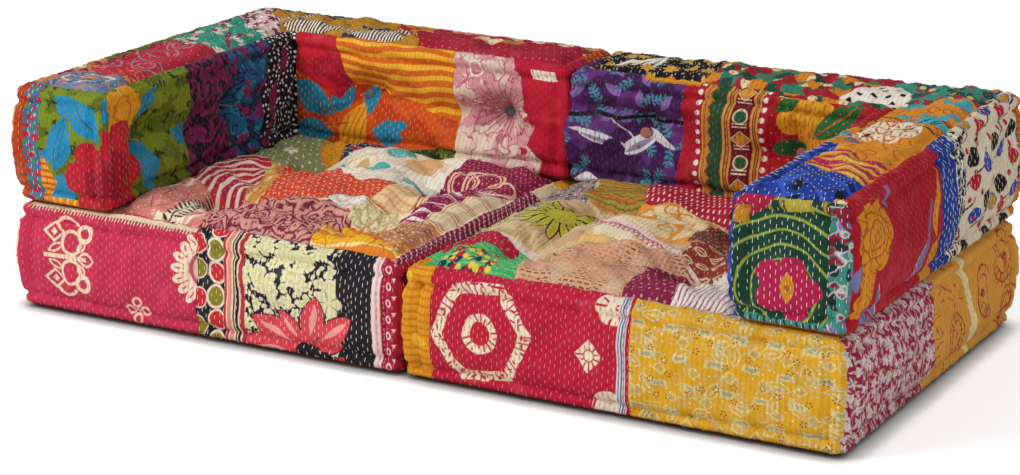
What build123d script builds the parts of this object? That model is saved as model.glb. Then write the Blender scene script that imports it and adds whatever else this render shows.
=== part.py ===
from build123d import *
import math
import os

# Modular pouf: two square seats side by side, each with a loose L-shaped bolster as its arm and back.
# Millimetres. X runs along the set, Y from front to back, Z up. The origin is on the floor, in the middle.
# Every piece is drawn for the right-hand module, and mirrored for the left-hand one.

# Sizes over the sewn edges
module_width = 800
module_depth = 800
seat_height = 200
bolster_height = 220
bolster_thickness = 185

# Spaces between the four cushions
seat_gap = 0.4
rest_gap = 0.3

# Cloth covers and the cotton inside them
cover_thickness = 3
filling_gap = 0.3

# Rolled edges, the stitched groove beside them, and how far they draw in between the corners
edge_roll_radius = 15
groove_depth = 6
roll_top_width = 6
edge_draw_in = 5
corner_radius = 24
inner_corner_radius = 20

# How far each band swells past its sewn edges
outer_swell = 20
front_swell = 14
sitting_side_swell = 14
pressed_swell = 7.5

# Crowned tops
seat_crown = 22
seat_crown_run = 150
seat_crown_corner = 40
bolster_crown = 12
bolster_crown_run = 40
bolster_crown_corner = 14
crown_groove_depth = 6
crown_groove_width = 8

# Tufts: a button in a hollow, and twine drawn to an anchor disc at the far side of the filling
tuft_pitch = 305
arm_tuft_shift = 38
seat_tuft_depth = 30
seat_tuft_radius = 80
seat_tuft_lip = 40
seat_tuft_lip_rise = 9
bolster_tuft_depth = 26
bolster_tuft_radius = 52
bolster_tuft_lip = 22
bolster_tuft_lip_rise = 6
button_radius = 12
button_height = 8
button_margin = 3
button_gap = 0.2
twine_radius = 1.5
twine_gap = 0.4
anchor_radius = 14
anchor_thickness = 3
anchor_depth = 16
anchor_gap = 0.3
knot_radius = 4
knot_length = 4

# Cuts run this far past what they cut
overrun = 60

# Least distance off a plane that counts as off it
flatness = 0.0001

# Shares of a rounded corner's turn, of a drawn-in side's length, of a quarter turn up the roll,
# of the band's height and swell, of a crown's quarter turn, and of a hollow's and a button's width and rise
corner_turn_shares = (0, 1 / 3, 2 / 3, 1)
side_step_shares = (1 / 4, 1 / 2, 3 / 4)
roll_turn_shares = (-1, -0.35, 0.35)
band_rise_shares = (0.18, 0.5, 0.82)
band_swell_shares = (0.8, 1, 0.8)
crown_step_shares = (0.45, 1)
hollow_width_shares = (0, 0.3, 1)
hollow_rise_shares = (0, 0.6, 1)
button_width_shares = (1, 1, 0.75, 0.3)
button_rise_shares = (0, 0.35, 0.8, 1)

# Sides of the pleated hollows, of the buttons, and of the hidden discs and twine
hollow_sides = 8
button_sides = 12
disc_sides = 8
twine_sides = 6

inner_seam = seat_gap / 2 + pressed_swell
outer_seam = module_width
front_seam = -module_depth / 2
back_seam = module_depth / 2
arm_seam = outer_seam - bolster_thickness
rest_seam = back_seam - bolster_thickness
bolster_base = seat_height + rest_gap

# Sewn edges seen from above, anticlockwise from the front. A side runs from its corner to the next one.
seat_corners = [
    Vector(inner_seam, front_seam),
    Vector(outer_seam, front_seam),
    Vector(outer_seam, back_seam),
    Vector(inner_seam, back_seam),
]
seat_sides = ["front_band", "outer_band", "back_band", "inner_band"]
seat_swells = [front_swell, outer_swell, front_swell, pressed_swell]
bolster_corners = [
    Vector(arm_seam, front_seam),
    Vector(outer_seam, front_seam),
    Vector(outer_seam, back_seam),
    Vector(inner_seam, back_seam),
    Vector(inner_seam, rest_seam),
    Vector(arm_seam, rest_seam),
]
bolster_sides = [
    "arm_front_band",
    "arm_outer_band",
    "back_outer_band",
    "back_end_band",
    "back_inner_band",
    "arm_inner_band",
]
bolster_swells = [
    front_swell,
    outer_swell,
    front_swell,
    pressed_swell,
    sitting_side_swell,
    sitting_side_swell,
]


def side_directions(corners):
    """Unit vectors along each side."""
    following = corners[1:] + corners[:1]
    return [(end - start).normalized() for start, end in zip(corners, following)]


def moved_corners(corners, offsets):
    """The corners after each side has moved outwards by its own offset."""
    along = side_directions(corners)
    outward = [Vector(d.Y, -d.X) for d in along]
    return [
        corner + outward[i - 1] * offsets[i - 1] + outward[i] * offsets[i]
        for i, corner in enumerate(corners)
    ]


def turns_left(before, after):
    """Whether a corner between two directions stands out, seen from above."""
    return before.X * after.Y - before.Y * after.X > 0


def at_height(points, height):
    """A level outline from points seen from above."""
    return [Vector(point.X, point.Y, height) for point in points]


def rounded_corner(point, before, after, radius):
    """Points round a corner, from the end of one side to the start of the next."""
    start = point - before * radius
    centre = start + after * radius
    steps = []
    for share in corner_turn_shares:
        turn = math.radians(90 * share)
        steps.append(centre - after * (radius * math.cos(turn)) + before * (radius * math.sin(turn)))
    return steps


def drawn_in_side(start, end, along, draw_in):
    """Points along a side that bows inwards between its ends."""
    inward = Vector(-along.Y, along.X)
    steps = []
    for share in side_step_shares:
        depth = draw_in * math.sin(math.pi * share)
        steps.append(start + (end - start) * share + inward * depth)
    return steps


def cushion_section(corners, offsets, draw_in, convex_radius, height):
    """One level outline: rounded corners, and sides that draw in towards their middles."""
    points = moved_corners(corners, offsets)
    along = side_directions(points)
    turns = []
    for i, point in enumerate(points):
        before, after = along[i - 1], along[i]
        radius = convex_radius if turns_left(before, after) else inner_corner_radius
        turns.append(rounded_corner(point, before, after, radius))
    outline = []
    for i, turn in enumerate(turns):
        following = turns[(i + 1) % len(turns)]
        outline += turn + drawn_in_side(turn[-1], following[0], along[i], draw_in)
    return at_height(outline, height)


def cavity_section(corners, offsets, cut_length, height):
    """One level outline of the space inside a cover: straight sides, and outer corners cut off."""
    points = moved_corners(corners, offsets)
    along = side_directions(points)
    outline = []
    for i, point in enumerate(points):
        before, after = along[i - 1], along[i]
        if turns_left(before, after):
            outline += [point - before * cut_length, point + after * cut_length]
        else:
            outline.append(point)
    return at_height(outline, height)


def flat_face(points):
    """A flat face inside a closed line."""
    return Face(Wire.make_polygon(points, close=True))


def spanning_faces(a, b, c, d):
    """The flat face inside four points, or two faces where they don't lie in one plane."""
    normal = (b - a).cross(c - a)
    if abs(normal.normalized().dot(d - a)) < flatness:
        return [flat_face([a, b, c, d])]
    return [flat_face([a, b, c]), flat_face([a, c, d])]


def skinned(levels):
    """A closed solid of flat faces through outlines that have as many points each."""
    faces = [flat_face(levels[0]), flat_face(levels[-1])]
    for low, high in zip(levels, levels[1:]):
        for i in range(len(low)):
            faces += spanning_faces(low[i - 1], low[i], high[i], high[i - 1])
    return Solid(Shell(faces))


def roll_steps():
    """Height above the cushion's base, and inset from the sewn edge, up the lower roll to its groove."""
    steps = []
    for share in roll_turn_shares:
        turn = math.radians(90 * share)
        rise = edge_roll_radius * (1 + math.sin(turn))
        steps.append((rise, edge_roll_radius * (1 - math.cos(turn))))
    steps.append((2 * edge_roll_radius, groove_depth))
    return steps


def band_steps(swells, height):
    """Height, offsets of the sides and remaining draw-in of each level of a swelling band."""
    band_height = height - 4 * edge_roll_radius
    steps = []
    for share, swell in zip(band_rise_shares, band_swell_shares):
        offsets = [side * swell - groove_depth * (1 - swell) for side in swells]
        steps.append((2 * edge_roll_radius + band_height * share, offsets, edge_draw_in * (1 - swell)))
    return steps


def crown_steps(height, crown, run, foot_offsets):
    """Height and offsets of each step of a crown, from the groove round it to its flat middle."""
    foot = height - crown_groove_depth
    steps = [(foot, foot_offsets)]
    for share in crown_step_shares:
        turn = math.radians(90 * share)
        inset = run * (1 - math.cos(turn))
        rise = (crown + crown_groove_depth) * math.sin(turn)
        steps.append((foot + rise, [offset - inset for offset in foot_offsets]))
    return steps


def cushion_body(corners, swells, height, top_steps, crown_corner):
    """The outside of a boxed cushion: lower roll, swelling bands, upper roll, and a top of its own."""
    levels = []
    sides = len(corners)
    rolls = roll_steps()
    for rise, inset in rolls:
        levels.append(cushion_section(corners, [-inset] * sides, edge_draw_in, corner_radius, rise))
    for rise, offsets, draw_in in band_steps(swells, height):
        levels.append(cushion_section(corners, offsets, draw_in, corner_radius, rise))
    for rise, inset in reversed(rolls):
        level = height - rise
        levels.append(cushion_section(corners, [-inset] * sides, edge_draw_in, corner_radius, level))
    for rise, offsets in top_steps:
        levels.append(cushion_section(corners, offsets, edge_draw_in, crown_corner, rise))
    return skinned(levels)


def cushion_cavity(corners, swells, height, top_steps, crown_corner, lining):
    """The straight-sided space inside a cover, behind its firm rolled edges."""
    levels = []
    sides = len(corners)
    deepest = edge_draw_in + lining
    roll_end = 2 * edge_roll_radius
    base_inset = [-edge_roll_radius - deepest] * sides
    roll_inset = [-groove_depth - deepest] * sides
    levels.append(cavity_section(corners, base_inset, corner_radius, lining))
    levels.append(cavity_section(corners, roll_inset, corner_radius, roll_end))
    for rise, offsets, draw_in in band_steps(swells, height):
        inner = [offset - draw_in - lining for offset in offsets]
        levels.append(cavity_section(corners, inner, corner_radius, rise))
    levels.append(cavity_section(corners, roll_inset, corner_radius, height - roll_end))
    for rise, offsets in top_steps:
        inner = [offset - deepest for offset in offsets]
        levels.append(cavity_section(corners, inner, crown_corner, rise - lining))
    return skinned(levels)


def seat_ledge():
    """How far each side's flat rim reaches in: past the roll where one sits, or under the bolster."""
    open_side = -edge_roll_radius - roll_top_width
    return [open_side, -bolster_thickness, -bolster_thickness, open_side]


def seat_crown_steps():
    """The crown of the sitting space, beside the ledge that the bolster stands on."""
    foot_offsets = [side - crown_groove_width for side in seat_ledge()]
    return crown_steps(seat_height, seat_crown, seat_crown_run, foot_offsets)


def seat_outside():
    """A seat: flat where the bolster stands, and crowned where one sits."""
    steps = [(seat_height, seat_ledge())] + seat_crown_steps()
    return cushion_body(seat_corners, seat_swells, seat_height, steps, seat_crown_corner)


def seat_cavity(lining):
    """The space inside a seat's cover."""
    rim = [(seat_height - crown_groove_depth, [-edge_roll_radius - roll_top_width] * len(seat_corners))]
    steps = rim + seat_crown_steps()
    return cushion_cavity(seat_corners, seat_swells, seat_height, steps, seat_crown_corner, lining)


def bolster_crown_steps():
    """The crown along the top of a bolster."""
    foot_offsets = [-edge_roll_radius - crown_groove_width] * len(bolster_corners)
    return crown_steps(bolster_height, bolster_crown, bolster_crown_run, foot_offsets)


def bolster_outside():
    """An L-shaped bolster, crowned along its top, standing on the seat."""
    steps = bolster_crown_steps()
    body = cushion_body(bolster_corners, bolster_swells, bolster_height, steps, bolster_crown_corner)
    return body.moved(Location((0, 0, bolster_base)))


def bolster_cavity(lining):
    """The space inside a bolster's cover."""
    steps = bolster_crown_steps()
    corner = bolster_crown_corner
    body = cushion_cavity(bolster_corners, bolster_swells, bolster_height, steps, corner, lining)
    return body.moved(Location((0, 0, bolster_base)))


def faceted(profile, sides):
    """An upright solid of flat facets through regular outlines, given as radius and height."""
    levels = []
    for radius, height in profile:
        turns = [math.radians(360 * (i + 1 / 2) / sides) for i in range(sides)]
        levels.append([Vector(radius * math.cos(turn), radius * math.sin(turn), height) for turn in turns])
    return skinned(levels)


def tuft_hollow(depth, radius, lip, lip_rise, lining):
    """What a tuft takes out of a cushion: pleats that fall from the crown to a floor at height 0."""
    floor = button_radius + button_margin
    profile = []
    for width, rise in zip(hollow_width_shares, hollow_rise_shares):
        profile.append((floor + (radius - floor) * width + lining, depth * rise - lining))
    rim = radius + lip + lining
    profile.append((rim, depth + lip_rise - lining))
    profile.append((rim, depth + lip_rise + overrun))
    return faceted(profile, hollow_sides)


def button():
    """A cloth-covered button, flat at the back and domed in front, lying on the floor of its hollow."""
    profile = []
    for width, rise in zip(button_width_shares, button_rise_shares):
        profile.append((button_radius * width, button_gap + button_height * rise))
    return faceted(profile, button_sides)


def rod(radius, low, high, sides):
    """A straight solid along Z between two heights."""
    return faceted([(radius, low), (radius, high)], sides)


def anchor_level(span):
    """Height of the recess floor that an anchor disc bears against, below the floor of the hollow."""
    return -span + cover_thickness + filling_gap + anchor_depth


def anchor(span):
    """The disc that the twine pulls against at the far side of the filling."""
    top = anchor_level(span) - anchor_gap
    base = top - anchor_thickness
    disc = rod(anchor_radius, base, top, disc_sides)
    return disc - rod(twine_radius + twine_gap, base - overrun, top + overrun, twine_sides)


def twine(span):
    """Tuft twine from the button's back through the filling and the disc, ending in a knot."""
    knot_top = anchor_level(span) - anchor_gap - anchor_thickness - anchor_gap
    line = rod(twine_radius, knot_top - knot_length, 0, twine_sides)
    return line + rod(knot_radius, knot_top - knot_length, knot_top, twine_sides)


def twine_hole(span):
    """The way of the twine through cloth and cotton."""
    return rod(twine_radius + twine_gap, anchor_level(span) - overrun, overrun, twine_sides)


def cover_hole():
    """The way of the twine through the cloth alone."""
    return rod(twine_radius + twine_gap, -cover_thickness - filling_gap, overrun, twine_sides)


def anchor_recess(span):
    """The recess that an anchor disc sits in, open at the far side of the filling."""
    return rod(anchor_radius + anchor_gap, -span - overrun, anchor_level(span), disc_sides)


def seat_tufts():
    """Planes on the hollow floors of a seat, and how far down its base is."""
    centre_x = (inner_seam + arm_seam) / 2
    centre_y = (front_seam + rest_seam) / 2
    floor = seat_height + seat_crown - seat_tuft_depth
    planes = [
        Plane(origin=(centre_x + x * tuft_pitch / 2, centre_y + y * tuft_pitch / 2, floor), z_dir=(0, 0, 1))
        for x in (-1, 1)
        for y in (-1, 1)
    ]
    return [(plane, floor) for plane in planes]


def bolster_tufts():
    """Planes on the hollow floors of a bolster's two sitting sides, and how far off its outer sides are."""
    height = bolster_base + bolster_height / 2
    back_floor = rest_seam - sitting_side_swell + bolster_tuft_depth
    arm_floor = arm_seam - sitting_side_swell + bolster_tuft_depth
    back_centre = (inner_seam + arm_seam) / 2
    arm_centre = (front_seam + rest_seam) / 2 - arm_tuft_shift
    tufts = []
    for side in (-1, 1):
        back = Plane(origin=(back_centre + side * tuft_pitch / 2, back_floor, height), z_dir=(0, -1, 0))
        arm = Plane(origin=(arm_floor, arm_centre + side * tuft_pitch / 2, height), z_dir=(-1, 0, 0))
        tufts.append((back, back_seam + front_swell - back_floor))
        tufts.append((arm, outer_seam + outer_swell - arm_floor))
    return tufts


def tufted(body, tufts, hollow):
    """A body with its tuft hollows taken out."""
    for plane, _ in tufts:
        body = body - hollow.moved(plane.location)
    return body


def prism(points, low, high):
    """An upright solid over a plan outline."""
    outline = Wire.make_polygon([Vector(p.X, p.Y, low) for p in points], close=True)
    return Solid.extrude(Face(outline), Vector(0, 0, high - low))


def bounds_prism(corners, low, high):
    """An upright block past every side of a cushion, between two heights."""
    xs = [corner.X for corner in corners]
    ys = [corner.Y for corner in corners]
    points = [
        Vector(min(xs) - overrun, min(ys) - overrun),
        Vector(max(xs) + overrun, min(ys) - overrun),
        Vector(max(xs) + overrun, max(ys) + overrun),
        Vector(min(xs) - overrun, max(ys) + overrun),
    ]
    return prism(points, low, high)


def side_prisms(corners, low, high):
    """One upright block for each side, meeting the next at the mitre of their corner."""
    outer = moved_corners(corners, [overrun] * len(corners))
    inner = moved_corners(corners, [-overrun] * len(corners))
    count = len(corners)
    blocks = []
    for i in range(count):
        following = (i + 1) % count
        blocks.append(prism([outer[i], outer[following], inner[following], inner[i]], low, high))
    return blocks


def mitre_prisms(low, high):
    """The arm's and the back's half of a bolster, parted along the mitre of its corner."""
    outer = Vector(outer_seam + overrun, back_seam + overrun)
    inner = Vector(arm_seam - overrun, rest_seam - overrun)
    arm = [inner, Vector(inner.X, front_seam - overrun), Vector(outer.X, front_seam - overrun), outer]
    back = [inner, outer, Vector(inner_seam - overrun, outer.Y), Vector(inner_seam - overrun, inner.Y)]
    return {"arm": prism(arm, low, high), "back": prism(back, low, high)}


def cover_panels(corners, sides, skin, base, height):
    """The bands of a cover, cut apart at its corner seams, and its loose top and base cloths."""
    low_seam = base + edge_roll_radius
    high_seam = base + height - edge_roll_radius
    band = skin & bounds_prism(corners, low_seam, high_seam)
    panels = {}
    for name, block in zip(sides, side_prisms(corners, low_seam - overrun, high_seam + overrun)):
        panels[name] = band & block
    panels["top_panel"] = skin & bounds_prism(corners, high_seam, base + height + overrun)
    panels["base_panel"] = skin & bounds_prism(corners, base - overrun, low_seam)
    return panels


def tie_pieces(tufts):
    """Buttons, twine and anchor discs of one cushion."""
    return {
        "buttons": [button().moved(plane.location) for plane, _ in tufts],
        "twine": [twine(span).moved(plane.location) for plane, span in tufts],
        "anchors": [anchor(span).moved(plane.location) for plane, span in tufts],
    }


def stuffed(body, tufts, hollow):
    """A filling with its tuft hollows, twine holes and anchor recesses."""
    body = tufted(body, tufts, hollow)
    for plane, span in tufts:
        body = body - twine_hole(span).moved(plane.location)
        body = body - anchor_recess(span).moved(plane.location)
    return body


def cover_skin(outer, inner, tufts):
    """The cloth between two bodies, pierced for the twine."""
    skin = outer - inner
    for plane, _ in tufts:
        skin = skin - cover_hole().moved(plane.location)
    return skin


def seat_hollow(lining):
    """A seat's tuft hollow, moved in by the lining."""
    return tuft_hollow(seat_tuft_depth, seat_tuft_radius, seat_tuft_lip, seat_tuft_lip_rise, lining)


def bolster_hollow(lining):
    """A bolster's tuft hollow, moved in by the lining."""
    rise = bolster_tuft_lip_rise
    return tuft_hollow(bolster_tuft_depth, bolster_tuft_radius, bolster_tuft_lip, rise, lining)


def seat_pieces():
    """Every piece of a seat by name."""
    tufts = seat_tufts()
    lining = cover_thickness + filling_gap
    outer = tufted(seat_outside(), tufts, seat_hollow(0))
    inner = tufted(seat_cavity(cover_thickness), tufts, seat_hollow(cover_thickness))
    pieces = cover_panels(seat_corners, seat_sides, cover_skin(outer, inner, tufts), 0, seat_height)
    pieces["filling"] = stuffed(seat_cavity(lining), tufts, seat_hollow(lining))
    pieces.update(tie_pieces(tufts))
    return pieces


def bolster_pieces():
    """Every piece of a bolster by name. Its top, base and filling are in two, mitred at the corner."""
    tufts = bolster_tufts()
    lining = cover_thickness + filling_gap
    outer = tufted(bolster_outside(), tufts, bolster_hollow(0))
    inner = tufted(bolster_cavity(cover_thickness), tufts, bolster_hollow(cover_thickness))
    skin = cover_skin(outer, inner, tufts)
    pieces = cover_panels(bolster_corners, bolster_sides, skin, bolster_base, bolster_height)
    pieces["filling"] = stuffed(bolster_cavity(lining), tufts, bolster_hollow(lining))
    halves = mitre_prisms(bolster_base - overrun, bolster_base + bolster_height + overrun)
    for whole in ("top_panel", "base_panel", "filling"):
        piece = pieces.pop(whole)
        for half, block in halves.items():
            pieces[half + "_" + whole] = piece & block
    pieces.update(tie_pieces(tufts))
    return pieces


def as_solids(piece):
    """All solids of a piece or of a list of pieces."""
    if isinstance(piece, list):
        return [solid for one in piece for solid in one.solids()]
    return list(piece.solids())


def write(name, solids):
    """Writes one node."""
    export_step(Compound(children=solids), os.path.join("parts", name + ".step"))


def main():
    os.makedirs("parts", exist_ok=True)
    for cushion, pieces in (("seat", seat_pieces()), ("bolster", bolster_pieces())):
        for piece_name, piece in pieces.items():
            solids = as_solids(piece)
            write("right_" + cushion + "_" + piece_name, solids)
            write("left_" + cushion + "_" + piece_name, [solid.mirror(Plane.YZ) for solid in solids])


main()
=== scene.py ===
import math
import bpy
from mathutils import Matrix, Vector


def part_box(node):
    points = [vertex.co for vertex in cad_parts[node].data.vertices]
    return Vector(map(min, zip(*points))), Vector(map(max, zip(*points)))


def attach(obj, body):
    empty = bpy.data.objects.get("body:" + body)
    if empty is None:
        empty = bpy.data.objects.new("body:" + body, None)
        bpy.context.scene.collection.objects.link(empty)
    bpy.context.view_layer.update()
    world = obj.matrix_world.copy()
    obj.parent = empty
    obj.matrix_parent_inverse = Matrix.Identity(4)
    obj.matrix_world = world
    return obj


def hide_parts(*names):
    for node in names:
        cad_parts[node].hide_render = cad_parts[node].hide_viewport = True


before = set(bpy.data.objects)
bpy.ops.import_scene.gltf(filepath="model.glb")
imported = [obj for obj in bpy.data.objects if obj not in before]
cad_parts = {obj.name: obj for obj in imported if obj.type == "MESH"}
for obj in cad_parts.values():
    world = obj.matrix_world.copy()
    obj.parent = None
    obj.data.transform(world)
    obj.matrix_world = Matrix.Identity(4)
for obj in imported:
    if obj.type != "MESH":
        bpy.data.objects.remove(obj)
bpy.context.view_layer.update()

from types import SimpleNamespace

import bmesh
import bpy
import numpy as np
from mathutils import Matrix, Vector

bl_info = {
    "name": "Patchwork floor lounge",
    "version": (1, 0, 0),
    "blender": (4, 5, 0),
    "location": "View3D > Sidebar > Floor lounge",
    "description": "Two tufted seat cushions and two L-shaped bolsters in quilted patchwork cloth",
    "category": "Object",
}

MM = 0.001
LOW, HIGH = 0, 1
X, Y, Z = 0, 1, 2
FAR = 1e6
SAME_PLACE = 1e-6
NO_LENGTH = 1e-9


# Sizes in millimetres, on the right-hand module. The left-hand one mirrors them.


def frame_size(node, end, axis):
    """One coordinate of a node's box, in millimetres."""
    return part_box(node)[end][axis] / MM


OUTER_SWELL = 20
FRONT_SWELL = 14
PRESSED_SWELL = 7.5
EDGE_ROLL = frame_size("right_seat_base_panel", HIGH, Z)
SEAT_TOP = frame_size("right_seat_top_panel", LOW, Z) + EDGE_ROLL
BOLSTER_BASE = frame_size("right_bolster_arm_base_panel", LOW, Z)
BOLSTER_TOP = frame_size("right_bolster_arm_top_panel", LOW, Z) + EDGE_ROLL
OUTER_SEAM = frame_size("right_seat_outer_band", HIGH, X) - OUTER_SWELL
INNER_SEAM = frame_size("right_seat_inner_band", LOW, X) + PRESSED_SWELL
FRONT_SEAM = frame_size("right_seat_front_band", LOW, Y) + FRONT_SWELL
BACK_SEAM = -FRONT_SEAM
BOLSTER_THICKNESS = 185
ARM_SEAM = OUTER_SEAM - BOLSTER_THICKNESS
REST_SEAM = BACK_SEAM - BOLSTER_THICKNESS
BUTTON_RADIUS = 12.3
SEAT_TUFT_REACH = 80
BOLSTER_TUFT_REACH = 58
BOLSTER_TUFT_PITCH = 304
LONGEST_VALLEY = 330
VALLEY_WIDTH = 34
CROWN_CURVE = 2.4

# Longer than any side, so that the gathers of no two sides match
SIDE_STRIDE = 1300

# The strip round a top panel that wears the cloth of the band below it
RIM = 21

# The strip at the foot of each band that is the base's own cloth
HEM = {"left_seat": 6, "right_seat": 6, "left_bolster": 1.5, "right_bolster": 1.5}

# How strongly the cloth gathers along the rolled edges
EDGE_GATHERS = {"left_seat": 0.4, "right_seat": 0.6, "left_bolster": 0.3, "right_bolster": 0.9}

# Local bulges and dents of the stuffing: centre, reach each way and how far the cloth moves
PUSHES = {
    "left_seat": [],
    "right_seat": [],
    "left_bolster": [((700, -330, 424), (110, 130, 80), (0, 0, -3))],
    "right_bolster": [
        ((800, 260, 424), (120, 240, 90), (0, 0, 14)),
        ((560, 400, 424), (260, 110, 90), (0, 0, 8)),
        ((615, -400, 418), (90, 60, 60), (-6, -3, -3)),
        ((50, 215, 352), (150, 60, 13), (0, 11, 0)),
        ((70, 215, 388), (130, 60, 22), (0, -5, 0)),
        ((80, 215, 296), (110, 60, 34), (0, -7, 0)),
        ((330, 215, 372), (110, 60, 26), (0, -6, 0)),
        ((320, 215, 262), (110, 60, 34), (0, -6, 0)),
    ],
}


# Shapes of cloth, as numbers over the flat form


def ripple(points, wavelength, seed, waves=28):
    """Smooth noise between about -1 and 1: a sum of plane waves in random directions."""
    rng = np.random.default_rng(seed)
    total = np.zeros(len(points))
    dimensions = points.shape[1]
    for _ in range(waves):
        direction = rng.normal(size=dimensions)
        direction /= np.linalg.norm(direction)
        stretch = rng.uniform(0.7, 1.5)
        phase = rng.uniform(0, 2 * math.pi)
        total += np.sin(points @ direction * (2 * math.pi * stretch / wavelength) + phase)
    return total / math.sqrt(waves / 2)


def bell(distance, width):
    return np.exp(-((distance / width) ** 2))


def ease(values, low, high):
    """0 below low, 1 above high, smooth between."""
    share = np.clip((values - low) / (high - low), 0, 1)
    return share * share * (3 - 2 * share)


def unit(vectors):
    return vectors / np.maximum(np.linalg.norm(vectors, axis=1), NO_LENGTH)[:, None]


def depth_in_plan(points, plan):
    """Distance inwards from the edge of a level outline made of rectangles."""
    depth = np.full(len(points), -FAR)
    for low_x, high_x, low_y, high_y in plan:
        x, y = points[:, 0], points[:, 1]
        inside = np.minimum(np.minimum(x - low_x, high_x - x), np.minimum(y - low_y, high_y - y))
        depth = np.maximum(depth, inside)
    return depth


class Side:
    """One straight side of a cushion's outline, with the band that is sewn to it."""

    def __init__(self, name, swell, before, start, end, after):
        self.name = name
        self.swell = swell
        self.start = start
        self.end = end
        self.length = np.linalg.norm(end - start)
        self.along = (end - start) / self.length
        self.outward = np.array([self.along[1], -self.along[0]])
        self.runs_across = abs(self.along[0]) > 0.5
        self.stands_out = (
            np.cross(start - before, end - start) > 0,
            np.cross(end - start, after - end) > 0,
        )

    def run(self, points):
        """How far along the side each point is."""
        return (points[:, :2] - self.start) @ self.along

    def off(self, points):
        """How far outside the side each point is."""
        return (points[:, :2] - self.start) @ self.outward


class Tuft:
    """Where a button is drawn in: its place, the way it faces, its depth and how far its dip reaches."""

    def __init__(self, place, normal, pit, reach):
        self.place = np.array(place, float)
        self.normal = np.array(normal, float)
        self.pit = pit
        self.reach = reach


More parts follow.
